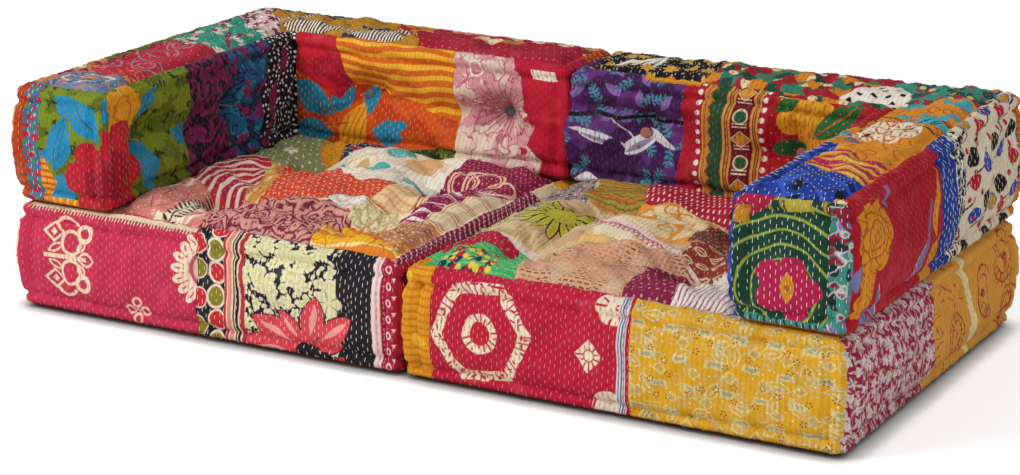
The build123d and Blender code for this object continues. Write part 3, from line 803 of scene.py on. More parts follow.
CLOTHS = {
    # Left seat, front
    "raspberry": ("#c62f50", "pink", [
        (ORNAMENT, "#f4dcb8"),
        (at(-547, 33, either(around(4, at(16, 0, ring(8, 4.5))), ring(3, 3)), 45), "#f2d2b2"),
        (both(HALF_SUN, left_of(-392)), "#f6dfc0"),
        (both(at(-394, 130, around(19, at(58, 0, leaf(15, 4)))), left_of(-392)), "#c9566e"),
        (at(-394, 130, disc(37)), "#c9566e"),
        (at(-394, 130, disc(31)), "#f3d9bd"),
    ]),
    "black_ovals": ("#1f1922", "white", [
        (either(*(at(x, y, disc(r, 0.86)) for x, y, r in (
            (-376, 130, 19), (-378, 86, 19), (-374, 43, 18), (-376, 172, 19), (-377, 2, 18), (-376, 214, 18),
            (-415, 133, 17), (-412, 80, 17), (-415, 28, 17), (-414, 180, 17)))), "#f0dcc2"),
        (discs_at(15, (-376, 130), (-374, 43), (-376, 214), (-412, 80), (-414, 180), squash=0.86), "#c9262f"),
        (discs_at(15, (-378, 86), (-376, 172), (-377, 2), (-415, 133), (-415, 28), squash=0.86), "#8c7d22"),
    ]),
    "pink_stripes": ("#efd9b8", "cream", [
        (strip(-360, -354), "#b92a3c"), (strip(-351, -343), "#e2897c"), (strip(-334, -328), "#1d1820"),
        (strip(-325, -316), "#c02a3c"), (strip(-339, -336), "#1d1820"),
    ]),
    "charcoal_bloom": ("#241e27", "white", [
        (both(wavy(either(strewn(27, flower(10.4, 5, 0.45), 3), strewn(14, disc(3.6, 0.7), 7),
            both(strewn(44, flower(19, 5, 0.4), 9), above(96))), 26, 5), strip(-316, -126)), "#e8dfb4"),
        (both(wavy(either(strewn(27, flower(4.5, 5, 0.5), 3), strewn(44, line(flower(10, 5, 0.4), 3), 9)), 26, 5),
            strip(-316, -126)), "#cfc884"),
        (both(at(-212, 184, wavy(box(70, 18), 20, 4), -4), strip(-316, -128)), "#dad5a0"),
        (at(-142, 112, flower(27, 5, 0.3)), "#e6dfb0"),
        (at(-142, 112, around(5, at(15, 0, leaf(22, 2.4)))), "#8e8a58"),
        (grown(LILY, 2.5), "#2a2029"),
        (LILY, "#df4450"),
        (petals_at((-180, 48, -168, 106, 13), (-152, 46, -106, 80, 12), (-206, 40, -238, 74, 9),
            (-220, 30, -284, 60, 11), (-230, 12, -300, 8, 12)), "#f3a09a"),
        (at(-192, 15, disc(21, 1.5)), "#211b24"), (at(-152, 10, disc(15, 1.5)), "#211b24"),
        (at(-121, 2, disc(5)), "#f2b2a6"),
        (strip(-54, -40), "#f0d8cc"),
    ]),
    "crimson_rings": ("#a91a32", "pink", [
        (strip(-48, -40), "#f3d5cf"),
        (either(in_column(29, at(-26, 0, ring(4.4, 2.2, 0.8))), in_column(29, at(-15, 14, diamond(9, 13))),
            in_column(9.6, at(-5, 0, disc(1.5)))), "#f2d3d6"),
        (either(in_column(29, at(8, 0, leaf(15, 5), 90)), in_column(9.6, at(-36, 0, disc(1.1)))), "#dba0ac"),
    ]),
    # Left seat, top
    "cream_edge": ("#f1e0bd", "cream", [(stripes(9, 1.6), "#cdb78f")]),
    "cream_plain": ("#ecdcb8", "cream", [(veins(26, 2.0, 4), "#cdb98c")]),
    "salmon_vine": ("#dd8578", "cream", [
        (strewn(13, disc(1.4), 2), "#f6e6d6"), (wavy(contours(60, 30, 4, 3), 30, 6), "#e9a596"),
        (either(at(-492, -335, box(160, 30), 86), at(-500, -395, box(60, 60))), "#f4e3c4"),
        (either(at(-492, -335, sprig(168, 11, 27), 86), at(-492, -225, sprig(84, 11, 34), 112)), "#3b2c28"),
        (either(at(-452, -322, box(150, 7), 62), at(-447, -345, box(120, 5), 66),
            at(-577, -240, line(leaf(84, 34), 6), 60), at(-610, -180, line(leaf(70, 30), 5), 80)), "#f7ecd2"),
        (at(-540, -310, line(leaf(96, 44), 4), 80), "#c9636a"),
    ]),
    "red_fan": ("#f3e2cb", "cream", [
        (at(-395, -165, rings(17, 10.4)), "#cf2a34"),
        (both(at(-395, -165, rings(17, 6.4)), strewn(90, disc(38), 5)), "#b02456"),
    ]),
    "star_gold": ("#e5a040", "cream", [
        (at(-455, -60, daisy(44, 6, 26)), "#eebc4e"), (stripes(19, 5), "#f2d8a4"),
        (wavy(veins(20, 3), 30, 6), "#cf7a2c"),
    ]),
    "sage": ("#84915f", "cream", [
        (dots(14, 1.9), "#ecead0"), (at(-536, 88, flower(15, 6, 0.4)), "#f4f0da"), (at(-536, 88, disc(4)), "#b9a24a"),
    ]),
    "ochre_plain": ("#d9951f", "yellow", [(wavy(veins(16, 2), 20, 5), "#b87414")]),
    "navy_bloom": ("#27324e", "white", [
        (strewn(24, flower(8, 5), 3), "#b03048"), (strewn(14, disc(1.8), 4), "#e9e3d3"),
    ]),
    "orange_dots": ("#d9432b", "cream", [(dots(12.5, 1.9), "#f4c9a2")]),
    "white_ovals": ("#efe8d6", "cream", [
        (discs_at(40, (-385, 82), (-258, 128)), "#e4c090"), (discs_at(37, (-385, 82), (-258, 128)), "#f1ead8"),
        (either(at(-385, 80, disc(24, 0.8)), at(-262, 128, disc(34, 0.8)), at(-236, 40, disc(12))), "#dcae76"),
        (either(at(-322, 52, disc(27, 1.25)), at(-330, 158, disc(30, 1.2)), at(-212, 4, disc(24, 1.1)),
            at(-430, 92, disc(11))), "#4fb3b4"),
        (either(at(-322, 52, ring(36, 1.8, 1.2)), at(-212, 4, ring(32, 1.6, 1.1))), "#b9cfc0"),
        (veins(38, 1.6, 7), "#e2c9a8"),
    ]),
    "pale_blue": ("#cddfe4", "cream", [
        (wavy(strewn(26, flower(11, 5), 2), 20, 5), "#f4eedd"), (veins(20, 2.4, 2), "#e9b48e"),
    ]),
    "vermicular": ("#d9998a", "cream", [
        (wavy(contours(24, 7.5, 3.1, 3), 12, 4, 4), "#7c1d3d"), (wavy(strewn(19, leaf(12, 4), 6), 10, 4), "#7c1d3d"),
    ]),
    "cream_scribble": ("#e9d7a6", "cream", [
        (veins(13, 1.7, 2, 2.0), "#a79c72"), (strewn(40, ring(10, 2), 4), "#c08d6a"),
    ]),
    "beige_plaid": ("#efcf9c", "cream", [
        (wavy(rows(22, 6), 60, 3), "#e5ad73"),
        (either(strip(-154, -151), strip(-146, -144), strip(-139, -137), band(-148, -145), band(-154, -152)),
            "#a8362c"),
    ]),
    "burgundy_loops": ("#8d1f45", "pink", [
        (dots(10, 1.3), "#e7a7b0"),
        (either(at(-118, 96, ring(42, 5, 1.2)), at(-70, 60, ring(34, 5)), at(-160, 96, ring(30, 5, 1.4))), "#f1c7a6"),
        (either(at(-118, 96, ring(34, 3, 1.2)), at(-160, 96, ring(23, 3, 1.4))), "#f1c7a6"),
        (at(-92, -4, both(around(34, at(34, 0, leaf(40, 3.4))), above(-6))), "#f0dcd4"),
    ]),
    "burgundy_wave": ("#8a1c46", "pink", [
        (wavy(rows(46, 9.2), 46, 16, 2), "#efdde0"),
        (wavy(rows(46, 3.2, 0.22), 46, 16, 2), "#d69aae"), (dots(11, 1.1), "#d98fa4"),
    ]),
    "cream_plaid": ("#f0d9b0", "cream", [
        (tiled(52, 56, either(band(-1.2, 1.2), band(5, 7), band(-8, -6), strip(-1.2, 1.2), strip(5, 6.6))), "#a8302c"),
    ]),
    "orange_waves": ("#e4852a", "yellow", [
        (wavy(rows(54, 24), 70, 26, 3), "#f2b724"),
        (wavy(rows(54, 6, 0.3), 70, 26, 3), "#f6d98a"), (veins(40, 3, 6), "#d45a2a"),
    ]),
    "dotted_disc": ("#c28058", "cream", [
        (strewn(11, disc(2.2), 2), "#f1d9bd"), (at(-88, -268, ring(74, 11)), "#e9963c"),
        (strewn(30, ring(7, 2), 3), "#8f4a3c"),
    ]),
    "burgundy_marks": ("#76183a", "pink", [(tiled(17, 9, at(0, 0, leaf(12, 3.2), 38), 0.5), "#e6bcc4")]),
    # Right seat, front and side
    "marigold": ("#e19a1e", "yellow", [(wavy(rows(13, 4.8), 40, 5), "#cf7c16"), (blotches(60, 0.62, 2), "#eeb434")]),
    "tie_dye": ("#bd1937", "pink", [
        (at(157, 107, either(wavy(line(hexagon(76), 20), 24, 3), wavy(ring(27, 14), 18, 2)), 7), "#efe0c4"),
        (at(359, 101, wavy(diamond(56, 58), 20, 3)), "#efe0c4"), (discs_at(31, (399, 190), (396, 16)), "#ecd9c0"),
        (both(either(
            at(160, 108, either(rays(44, 2.8, 40, 100), rays(17, 3.4, 16, 38))), at(359, 101, rays(11, 3.2, 11, 30)),
            at(399, 190, around(9, band(-2.2, 2.2))),
        ), blotches(24, 0.49, 4)), "#bd2441"),
        (both(wavy(strewn(15, leaf(13, 4), 6), 12, 4), at(160, 108, less(disc(96), disc(48)))), "#bd1937"),
        (at(359, 101, ring(10, 3)), "#b5722f"),
        (strip(411, 427), "#e2e2e0"), (either(strip(414, 416), strip(418.5, 421.5), strip(424, 425.5)), "#4a5c86"),
    ]),
    "golden_blocks": ("#dea621", "yellow", [
        (wavy(tiled(61, 47, either(at(-9, 8, box(30, 13)), at(17, -12, line(diamond(23, 19), 3))), 0.37), 26, 6, 2),
            "#dbc987"),
        (wavy(tiled(61, 47, either(at(-9, 8, box(19, 6)), at(17, -12, diamond(9, 8))), 0.37), 26, 6, 2), "#a9a489"),
        (wavy(strewn(52, either(line(leaf(36, 18), 2.6), leaf(20, 5)), 11), 20, 4), "#d8cd9c"),
        (wavy(strewn(44, line(disc(9, 1.3), 2.4), 14), 20, 4), "#bdb89a"),
        (both(wavy(tiled(6, 8, box(3.2, 2.2), 0.5), 30, 3), strewn(43, box(16, 26), 5, turned=False)), "#c9bd8c"),
        (wavy(tiled(61, 94, box(1.2, 80)), 30, 4, 2), "#c99522"), (strewn(26, disc(1.6), 8), "#f1dfae"),
        (strewn(38, either(*(at(4.5 * math.cos(i * 1.257), 4.5 * math.sin(i * 1.257), disc(1.4)) for i in range(5))),
            3), "#6e4620"),
    ]),
    "maroon_bloom": ("#981f3d", "pink", [
        (wavy(strewn(21, flower(9, 5, 0.5), 2), 16, 3), "#d8cdc9"),
        (wavy(strewn(13, leaf(13, 4.5), 5), 20, 3), "#c9b4b4"),
        (strewn(33, disc(3.4), 7), "#b0895a"),
    ]),
    "golden_paisley": ("#dd9c3c", "yellow", [
        (either(*(at(x, y, either(ring(r, 3.4, 0.8), ring(r * 0.66, 3, 0.8), disc(r * 0.2),
            both(around(18, box(400, 1.8)), ring(r * 0.84, r * 0.3, 0.8))))
                  for x, y, r in ((215, 112, 40), (86, 70, 34), (330, 150, 38), (350, 52, 30)))), "#a9352f"),
        (both(wavy(contours(40, 12, 2.6, 5), 30, 8), blotches(110, 0.5, 6)), "#b34a30"),
        (at(150, 100, wavy(box(26, 300), 60, 26), 14), "#ead9a0"),
    ]),
    # Right seat, top
    "tan_plain": ("#d6b68c", "cream", [(veins(30, 2, 6), "#bf9a70")]),
    "green_beads": ("#3fae66", "cream", [
        (rows(8, 1.8), "#7fc487"),
        (both(strewn(21, disc(8.5, 1.2), 2), at(100, -372, disc(52, 0.8))), "#20344e"),
        (both(strewn(25, disc(8, 1.2), 6), at(104, -362, disc(54, 0.8))), "#b3202f"),
        (both(strewn(19, disc(5.4), 9), at(100, -372, disc(54, 0.8))), "#e5cf4a"),
    ]),
    "red_sliver": ("#b01c33", "pink", [(dots(13, 1.6), "#e27f8b")]),
    "daisy_beige": ("#dcbf95", "cream", [
        (at(72, 0, blotches(60, 0.55, 4)), "#cfa77a"), (at(112, -214, box(90, 26)), "#e6cfc0"),
        (either(*(at(x, -168, box(1.4, 62)) for x in (96, 108, 122, 136, 147))), "#9a7a56"),
        (both(wavy(strewn(34, flower(9, 5), 3), 20, 4), left_of(90)), "#a9bc62"),
        (both(strewn(24, leaf(16, 6), 8), left_of(66)), "#8f7a74"),
        (at(128, -64, around(16, at(54, 0, disc(31, 3.1)))), "#24221c"),
        (at(128, -64, either(around(16, at(54, 0, disc(28.6, 4.0))), disc(27))), "#bfb433"),
        (at(128, -64, around(16, at(44, 0, leaf(40, 1.6)))), "#8c8426"),
    ]),
    "lilac_small": ("#a98f86", "cream", [
        (strewn(15, flower(6, 5), 2), "#5d5578"), (strewn(18, disc(2.4), 5), "#e8dcc2"),
        (strewn(24, leaf(13, 5), 7), "#8a8b52"),
    ]),
    "olive_stripes": ("#a88f3c", "yellow", [
        (wavy(rows(9, 2.8), 50, 7), "#6e6330"), (wavy(rows(21, 4), 50, 7), "#c8622c"),
    ]),
    "orange_floral": ("#efd7a4", "cream", [
        (at(340, 10, ring(150, 46)), "#e79b38"), (wavy(contours(70, 34, 11, 3), 40, 10), "#e79b38"),
        (at(330, 0, wavy(either(*(at(30 * i, -10 * i * i / 4, leaf(52, 20), 70 - 22 * i) for i in (-2, -1, 0, 1, 2))),
            30, 4)), "#f6ead0"),
        (wavy(strewn(46, ring(13, 4), 5), 20, 5), "#e2862f"),
    ]),
    "cream_field": ("#efe0bd", "cream", [(at(270, -150, blotches(90, 0.55, 5)), "#eec98a")]),
    "yellow_tip": ("#efc27a", "cream", []),
    "chain": ("#eed3c2", "pink", [
        (at(200, -86, either(band(7.8, 10.2), band(-10.2, -7.8)), -26), "#8c2346"),
        (at(200, -86, both(in_row(13, ring(5, 2.4, 0.8)), band(-8, 8)), -26), "#a8284e"),
    ]),
    "red_dashes": ("#ae1a31", "rose", [(dashes(11, 6, 2.8, 2.1), "#f6e5da")]),
    "tan_rows": ("#d5a985", "cream", [
        (TAN_BRICKS, "#d4634f"), (both(TAN_BRICKS, blotches(44, 0.54, 3)), "#5b3a30"),
        (both(TAN_BRICKS, blotches(40, 0.57, 8)), "#f0d9b6"),
    ]),
    "tiny_check": ("#8a4a36", "cream", [
        (tiled(7, 7, box(4, 4), 0.5), "#6b2f2c"), (tiled(16, 16, box(4, 4), 0.5), "#c9a075"),
    ]),
    "rust_leaf": ("#97392e", "cream", [
        (wavy(tiled(30, 26, either(line(leaf(24, 12), 2.6), box(26, 1.8)), 0.5), 26, 3), "#ecd2a8"),
    ]),
    "burgundy_dots": ("#862042", "pink", [(dots(14, 2.0), "#e58fa2")]),
    "peony": ("#f0e6da", "cream", [
        (both(wavy(at(470, -560, around(150, at(190, 0, leaf(210, 3)))), 50, 8),
            wavy(at(560, -330, disc(96)), 40, 12)), "#a0506a"),
        (wavy(at(610, -450, leaf(150, 60)), 30, 8), "#7b1f40"),
        (at(545, -404, line(leaf(52, 30), 2.6), 20), "#b8637a"), (at(545, -404, strewn(9, disc(1.3), 3)), "#d9b2ba"),
        (at(470, -470, both(around(70, at(84, 0, leaf(46, 4))), above(-2))), "#f6efe4"),
        (wavy(at(640, -340, leaf(120, 40), 60), 30, 8), "#8d3350"),
    ]),
    # Left bolster
    "rust": ("#b8401c", "yellow", [(wavy(veins(24, 2.4), 20, 5), "#8f2c14")]),
    "tricolour": ("#3a6f8e", "white", [
        (tiled(26, 34, either(at(0, 6, box(16, 12)), at(-8, -10, disc(5))), 0.5), "#b02340"),
        (tiled(26, 34, at(4, -8, disc(5)), 0.5), "#3f8a58"),
        (tiled(26, 34, at(9, 12, disc(3)), 0.5), "#d9a04a"),
    ]),
    "olive_leaves": ("#5c6818", "olive", [
        (blotches(34, 0.5, 3), "#76861d"), (blotches(30, 0.6, 5), "#33420f"),
        (leaves((-706, 322, 108, 52, 78), (-655, 372, 96, 46, -52), (-690, 392, 70, 40, -20), (-708, 232, 74, 56, 80),
            (-738, 296, 40, 20, 60)), "#1f86b4"),
        (either(at(-706, 322, line(leaf(100, 12), 1.6), 78), at(-655, 372, leaf(80, 3), -52)), "#155f8c"),
        (at(-745, 250, diamond(60, 90)), "#e6a01f"), (at(-745, 250, both(diamond(60, 90), rows(12, 4.8))), "#c8481a"),
        (at(-660, 206, box(160, 26)), "#dd861c"),
        (at(-660, 206, both(box(160, 26), wavy(stripes(15, 5), 30, 9))), "#f0bd35"),
        (at(-622, 264, wavy(flower(74, 6, 0.2), 40, 7)), "#bb1832"),
        (at(-622, 250, wavy(flower(40, 5, 0.3), 30, 6)), "#9d1230"),
    ]),
    "olive_bloom": ("#5a6a1a", "olive", [
        (blotches(34, 0.5, 4), "#78881e"), (blotches(22, 0.6, 6), "#2c3c12"),
        (leaves((-262, 262, 104, 52, 86), (-262, 382, 70, 34, 50), (-150, 300, 62, 42, -20), (-400, 392, 90, 40, 20)),
            "#1e83ac"),
        (at(-340, 384, wavy(flower(56, 5, 0.3), 36, 7)), "#e89a20"),
        (at(-340, 384, wavy(ring(24, 5), 30, 8)), "#c9701a"),
        (at(-382, 278, wavy(flower(98, 6, 0.22), 44, 8)), "#c01a33"),
        (at(-372, 268, wavy(flower(50, 5, 0.35), 30, 6)), "#a01230"),
        (at(-256, 322, either(disc(13), around(5, at(17, 0, disc(6))))), "#4a5618"),
    ]),
    "maroon_black": ("#211620", "dusk", [
        (wavy(contours(46, 19, 9, 4), 26, 9), "#761b4c"), (wavy(strewn(26, leaf(19, 8), 3), 20, 5), "#8c2458"),
    ]),
    "indigo_magenta": ("#23304f", "dusk", [
        (blotches(46, 0.47, 2), "#1f5f8c"), (blotches(24, 0.58, 6), "#2b8aa4"),
        (wavy(strewn(48, leaf(44, 17), 4), 30, 7), "#8c1f58"), (veins(22, 2.4, 5), "#141c30"),
    ]),
    "black_dots": ("#17141b", "dusk", [
        (strewn(11.5, disc(2.5), 3, turned=False), "#f4f1ea"),
        (wavy(leaves((138, 300, 96, 26, 66), (120, 226, 70, 22, 80), (180, 372, 60, 18, 60)), 24, 5), "#7d1d4c"),
    ]),
    "black_dots_wide": ("#17141b", "dusk", [(strewn(11.5, disc(2.5), 5, turned=False), "#f4f1ea")]),
    "scarlet": ("#c41a2c", "rose", [(blotches(90, 0.6, 4), "#a8142c")]),
    "orange_blue": ("#d4511a", "yellow", [
        (blotches(80, 0.55, 3), "#c33c18"),
        (leaves((-566, 300, 104, 58, -38), (-568, 232, 96, 50, -4), (-508, 302, 66, 36, 62), (-456, 300, 72, 34, 76),
            (-400, 245, 70, 54, -10), (-382, 262, 56, 22, 10)), "#1b82a6"),
        (at(-480, 240, wavy(leaf(112, 62), 30, 4), 78), "#e8a01c"),
        (at(-480, 240, both(leaf(106, 54), wavy(rows(13, 4), 30, 5)), 78), "#c56a14"),
        (either(at(-530, 268, box(50, 3), -40), at(-522, 250, box(60, 3), 10)), "#a8401c"),
    ]),
    "amber_waves": ("#d8641a", "yellow", [(wavy(rows(21, 9.2), 110, 24, 3), "#f2b42e")]),
    "moss": ("#4e5f20", "olive", [
        (wavy(contours(40, 12, 4, 3), 30, 6), "#27361a"), (blotches(40, 0.6, 5), "#8a8a24"),
    ]),
    "rose_smoke": ("#e4cdb9", "cream", [
        (both(wavy(blotches(34, 0.49, 3), 20, 6), above(262)), "#d3909a"),
        (both(wavy(blotches(26, 0.5, 8), 20, 6), right_of(-175)), "#dba2a4"),
        (both(wavy(veins(30, 2.4, 4), 20, 8), right_of(-240)), "#b8586a"),
        (both(wavy(blotches(20, 0.6, 6), 16, 6), right_of(-130)), "#b01c38"),
        (at(-155, 318, both(around(26, box(150, 1.8)), disc(62))), "#a45a68"),
        (at(-205, 398, wavy(ring(14, 4), 14, 4)), "#e9dccb"),
    ]),
    "crimson_rows": ("#bf1733", "rose", [(at(-60, 400, box(50, 18)), "#efe4d4"), (blotches(120, 0.62, 3), "#a5132e")]),
    "slate_leaf": ("#5f80a6", "cream", [
        (at(-700, -330, wavy(line(leaf(96, 48), 6), 24, 5), 28), "#ead7c0"),
        (at(-700, -330, leaf(40, 14), 28), "#d08a5c"), (wavy(veins(22, 3, 4), 16, 6), "#c7743a"),
        (strewn(38, leaf(26, 9), 6), "#3f5c86"),
    ]),
    "red_paisley": ("#b92b3b", "rose", [
        (either(*(at(x, y, wavy(either(ring(r, 4, 1.3), ring(r * 0.55, 3, 1.3)), 24, 4)) for x, y,
            r in ((-712, -98, 40), (-670, -190, 30), (-748, -216, 34), (-700, -40, 26)))), "#8d8a96"),
        (dots(16, 1.5), "#e8909a"), (both(wavy(contours(30, 12, 4, 3), 16, 5), left_of(-738)), "#7c2540"),
        (both(veins(24, 3, 6), below(-230)), "#e2853c"),
    ]),
    "teal_feather": ("#23927a", "cream", [
        (wavy(strewn(66, either(sprig(54, 8, 12), leaf(58, 5)), 4), 24, 5), "#ebe2d2"),
        (wavy(strewn(50, leaf(34, 12), 8), 20, 5), "#8a2044"), (strewn(54, disc(8), 3), "#d9b08c"),
    ]),
    "pink_burgundy": ("#e3b9bd", "cream", [
        (wavy(strewn(24, flower(10, 5, 0.5), 5), 18, 4), "#7b1f44"), (wavy(strewn(20, disc(4), 3), 18, 4), "#f6efe6"),
        (blotches(50, 0.62, 4), "#2f2436"),
    ]),
    "mustard_feather": ("#b8801a", "cream", [
        (wavy(blotches(46, 0.63, 3), 30, 8), "#2e3a52"), (wavy(contours(80, 40, 3, 4), 30, 6), "#8c5c12"),
        (set_at(both(in_row(7, box(3.4, 90)), leaf(150, 46)), *FEATHERS), "#1f1b22"),
        (set_at(both(at(3.5, 0, in_row(7, box(3, 90))), leaf(146, 42)), *FEATHERS), "#f2ead8"),
    ]),
    "crimson_rose": ("#a5192f", "rose", [
        (both(wavy(strewn(70, flower(30, 5, 0.4), 6), 30, 8), above(322)), "#d8863a"),
        (both(wavy(strewn(60, leaf(46, 20), 3), 30, 8), above(340)), "#8f9a4e"),
        (both(wavy(strewn(64, disc(16), 9), 30, 8), above(330)), "#ead9b4"), (dots(15, 1.4), "#d9707e"),
    ]),
    # Right bolster
    "purple_leaves": ("#431c50", "dusk", [
        (blotches(70, 0.53, 4), "#653078"), (wavy(strewn(46, sprig(40, 9, 12), 3), 20, 5), "#4d8ea6"),
        (both(strewn(60, leaf(40, 16), 7), above(330)), "#8a6ab0"),
        (at(122, 341, wavy(box(260, 7), 60, 12)), "#17121c"),
        (either(at(76, 300, leaf(110, 20), -14), at(150, 292, leaf(96, 30), 30), at(196, 306, leaf(70, 16), -24),
            at(120, 318, box(2.4, 60), 52)), "#dcd9dc"),
        (leaves((80, 296, 80, 8, -14), (152, 290, 60, 12, 30)), "#8f86a0"),
        (at(96, 252, wavy(flower(50, 5, 0.3), 30, 5)), "#40194c"),
        (at(44, 214, leaf(52, 20), 8), "#e6e2dc"), (at(166, 214, leaf(44, 14)), "#2f8a80"),
    ]),
    "red_border": ("#ab1828", "rose", [
        (either(in_column(19, at(272, 0, disc(4.8))), in_column(19, at(399, 0, disc(5)))), "#f3e6d8"),
        (either(strip(281, 292), strip(325, 341), strip(378, 393)), "#cf9a45"),
        (either(strip(284.5, 286), strip(288, 289.5), strip(330, 332), strip(335, 337), strip(383, 385),
            strip(387, 389)), "#7c2418"),
        (strip(296, 325), "#1d5230"), (in_column(24, at(294, 0, diamond(13, 20))), "#c9852c"),
        (strip(342, 377), "#681521"),
        (in_column(88, at(359.5, 22, either(box(22, 12), diamond(30, 26)))), "#d79a2e"),
        (in_column(88, at(359.5, 22, line(diamond(36, 32), 2))), "#efd9a0"),
        (in_column(88, at(359.5, -22, disc(14))), "#d5cfa8"), (in_column(88, at(359.5, -22, disc(11))), "#1f5a38"),
        (in_column(44, at(359.5, -19, either(box(26, 2.4), at(0, 6, box(26, 2))))), "#f1dfc4"),
    ]),
    "golden_bloom": ("#a9141f", "rose", [
        (at(476, 392, wavy(flower(58, 5, 0.25), 40, 9)), "#e0a01f"),
        (at(500, 330, wavy(flower(46, 5, 0.3), 36, 8)), "#d9921c"),
        (leaves((540, 385, 120, 44, 40), (446, 320, 70, 34, 10), (440, 404, 50, 26, 30), (560, 330, 90, 26, 55)),
            "#1f6a34"),
        (either(at(540, 385, leaf(100, 4), 40), at(470, 384, line(disc(18), 2)), at(498, 336, line(disc(16), 2))),
            "#b8741a"),
        (dots(17, 1.3), "#e77a6a"),
    ]),
    "black_gold": ("#19161d", "cream", [
        (either(at(150, 250, ring(190, 7)), at(170, 190, ring(196, 3.4)), at(40, 420, ring(160, 5)),
            at(250, 300, ring(120, 3))), "#b0923a"),
        (wavy(strewn(52, daisy(17, 8, 7), 4), 20, 4), "#d9a22c"),
        (both(wavy(blotches(50, 0.5, 5), 30, 6), below(244)), "#e39a22"),
        (either(*(at(90 + 14 * i, 282 + 5 * i, leaf(64, 9), 24 + 14 * i) for i in range(5))), "#eae4d6"),
        (strewn(17, disc(1.5), 3), "#e9e3d2"),
    ]),
    "garden": ("#a51c2c", "rose", [
        (wavy(strewn(66, flower(30, 5, 0.35), 3), 34, 9), "#2f8468"),
        (wavy(strewn(58, leaf(50, 22), 8), 30, 8), "#1c4a3c"),
        (wavy(strewn(74, flower(22, 5, 0.35), 5), 30, 8), "#d8861f"), (strewn(50, disc(9), 6), "#e9d6a8"),
    ]),
    "scarlet_roll": ("#b3182c", "rose", [
        (strewn(30, leaf(22, 8), 4), "#2c3e48"), (strewn(40, disc(7), 3), "#c8464f"),
    ]),
    "white_black_ovals": ("#ece4d6", "cream", [(wavy(tiled(27, 21, disc(6.4, 1.5), 0.5), 30, 4), "#17151a")]),
    "teal_bloom": ("#3a9482", "olive", [
        (wavy(strewn(48, flower(19, 5, 0.4), 5), 22, 6), "#1f4e4c"), (strewn(36, leaf(26, 9), 3), "#b02640"),
        (strewn(44, disc(6), 7), "#e1c27c"),
    ]),
    "orange_branch": ("#df8f26", "yellow", [
        (both(wavy(blotches(46, 0.5, 3), 26, 6), above(96)), "#3aa7b6"),
        (at(690, 20, wavy(disc(66, 1.1), 40, 12)), "#ecdcc2"),
        (both(at(690, 20, wavy(strewn(15, leaf(13, 4), 4), 16, 4)), at(690, 20, disc(64, 1.1))), "#b8642c"),
        (wavy(either(at(700, 70, box(150, 5), 16), at(676, 104, box(90, 4), -26), at(716, 24, box(120, 5), 34),
            at(650, 40, box(60, 3.4), 70), at(735, 96, box(70, 3), 52)), 30, 6), "#191519"),
        (wavy(either(*(at(640 + 22 * i, 52 + 11 * i, either(leaf(40, 4), at(6, 10, leaf(34, 3.4), 20)),
            70 - 10 * i) for i in range(7))), 24, 4), "#231c1c"),
        (at(650, -60, leaf(60, 34), 20), "#5a6b86"), (wavy(strewn(40, ring(10, 3), 5), 20, 5), "#c8571c"),
    ]),
    "cobalt": ("#20409f", "white", [
        (wavy(contours(50, 22, 6, 3), 20, 6), "#152a72"), (wavy(contours(60, 30, 7, 6), 20, 6), "#3459c4"),
        (wavy(blotches(36, 0.62, 4), 20, 6), "#10182e"),
    ]),
    "gold_magenta": ("#dba02a", "yellow", [
        (wavy(rows(27, 10.8), 60, 14, 3), "#b5204f"), (wavy(rows(27, 4, 0.4), 60, 14, 3), "#e9c768"),
    ]),
    "green_swirl": ("#163f2f", "white", [
        (both(at(698, 262, wavy(rings(21, 3.6, 0.9), 70, 10, 3)), outside(at(704, 270, disc(48)))), "#93a03c"),
        (both(wavy(stripes(22, 5), 30, 9), above(396)), "#b08c2c"),
        (at(640, 402, wavy(leaf(120, 40), 30, 8), 30), "#a8183c"), (at(716, 408, box(40, 22), 8), "#b6a436"),
        (at(628, 384, box(24, 30)), "#bf7f1f"),
        (at(704, 270, wavy(flower(56, 5, 0.24), 30, 6)), "#b3184a"), (at(704, 272, leaf(52, 24), 90), "#d08a1c"),
        (at(704, 272, disc(5)), "#a8641c"),
        (at(700, 210, wavy(box(140, 14), 30, 6)), "#3f8c84"),
        (both(at(700, 208, box(140, 18)), wavy(stripes(11, 3.4), 16, 4)), "#12302a"),
    ]),
    "teal_crimson": ("#3d8a7c", "white", [
        (wavy(blotches(30, 0.53, 3), 18, 5), "#8d1c34"), (wavy(strewn(38, leaf(30, 12), 4), 20, 5), "#7c76a8"),
        (blotches(40, 0.62, 8), "#17302c"), (wavy(veins(30, 2, 3), 20, 4), "#d9c3cf"),
    ]),
    "crimson_garden": ("#ac1424", "rose", [
        (either(at(-330, 352, wavy(flower(62, 6, 0.2), 44, 8)), at(-352, 280, wavy(leaf(110, 46), 40, 8), 84),
            at(-372, 250, wavy(flower(28, 5, 0.3), 30, 6))), "#d9901f"),
        (at(-330, 352, wavy(either(ring(40, 3, 1.1), ring(25, 3), ring(10, 3), around(6, at(48, 0, ring(12, 2)))), 26,
            5)), "#a85a14"),
        (leaves((-300, 236, 62, 26, 84), (-344, 224, 34, 22, 60), (-322, 204, 34, 22, 100), (-118, 262, 90, 40, 52),
            (-86, 310, 90, 20, 80), (-262, 400, 40, 20, 70), (-392, 300, 44, 20, 80)), "#7a76a4"),
        (either(at(-300, 236, line(leaf(62, 26), 2), 84), at(-118, 262, line(leaf(90, 40), 2), 52)), "#cfc3d4"),
        (leaves((-60, 232, 120, 50, 60), (-44, 340, 120, 20, 86)), "#cf901f"),
    ]),
    "blue_black": ("#1f3d94", "white", [
        (strip(44, 92), "#15131a"), (both(wavy(veins(15, 3.4, 2), 10, 3), strip(44, 92)), "#e9e5d8"),
        (wavy(stripes(37, 3), 40, 8), "#101c4a"),
    ]),
    "berry_branch": ("#e0d2b8", "cream", [
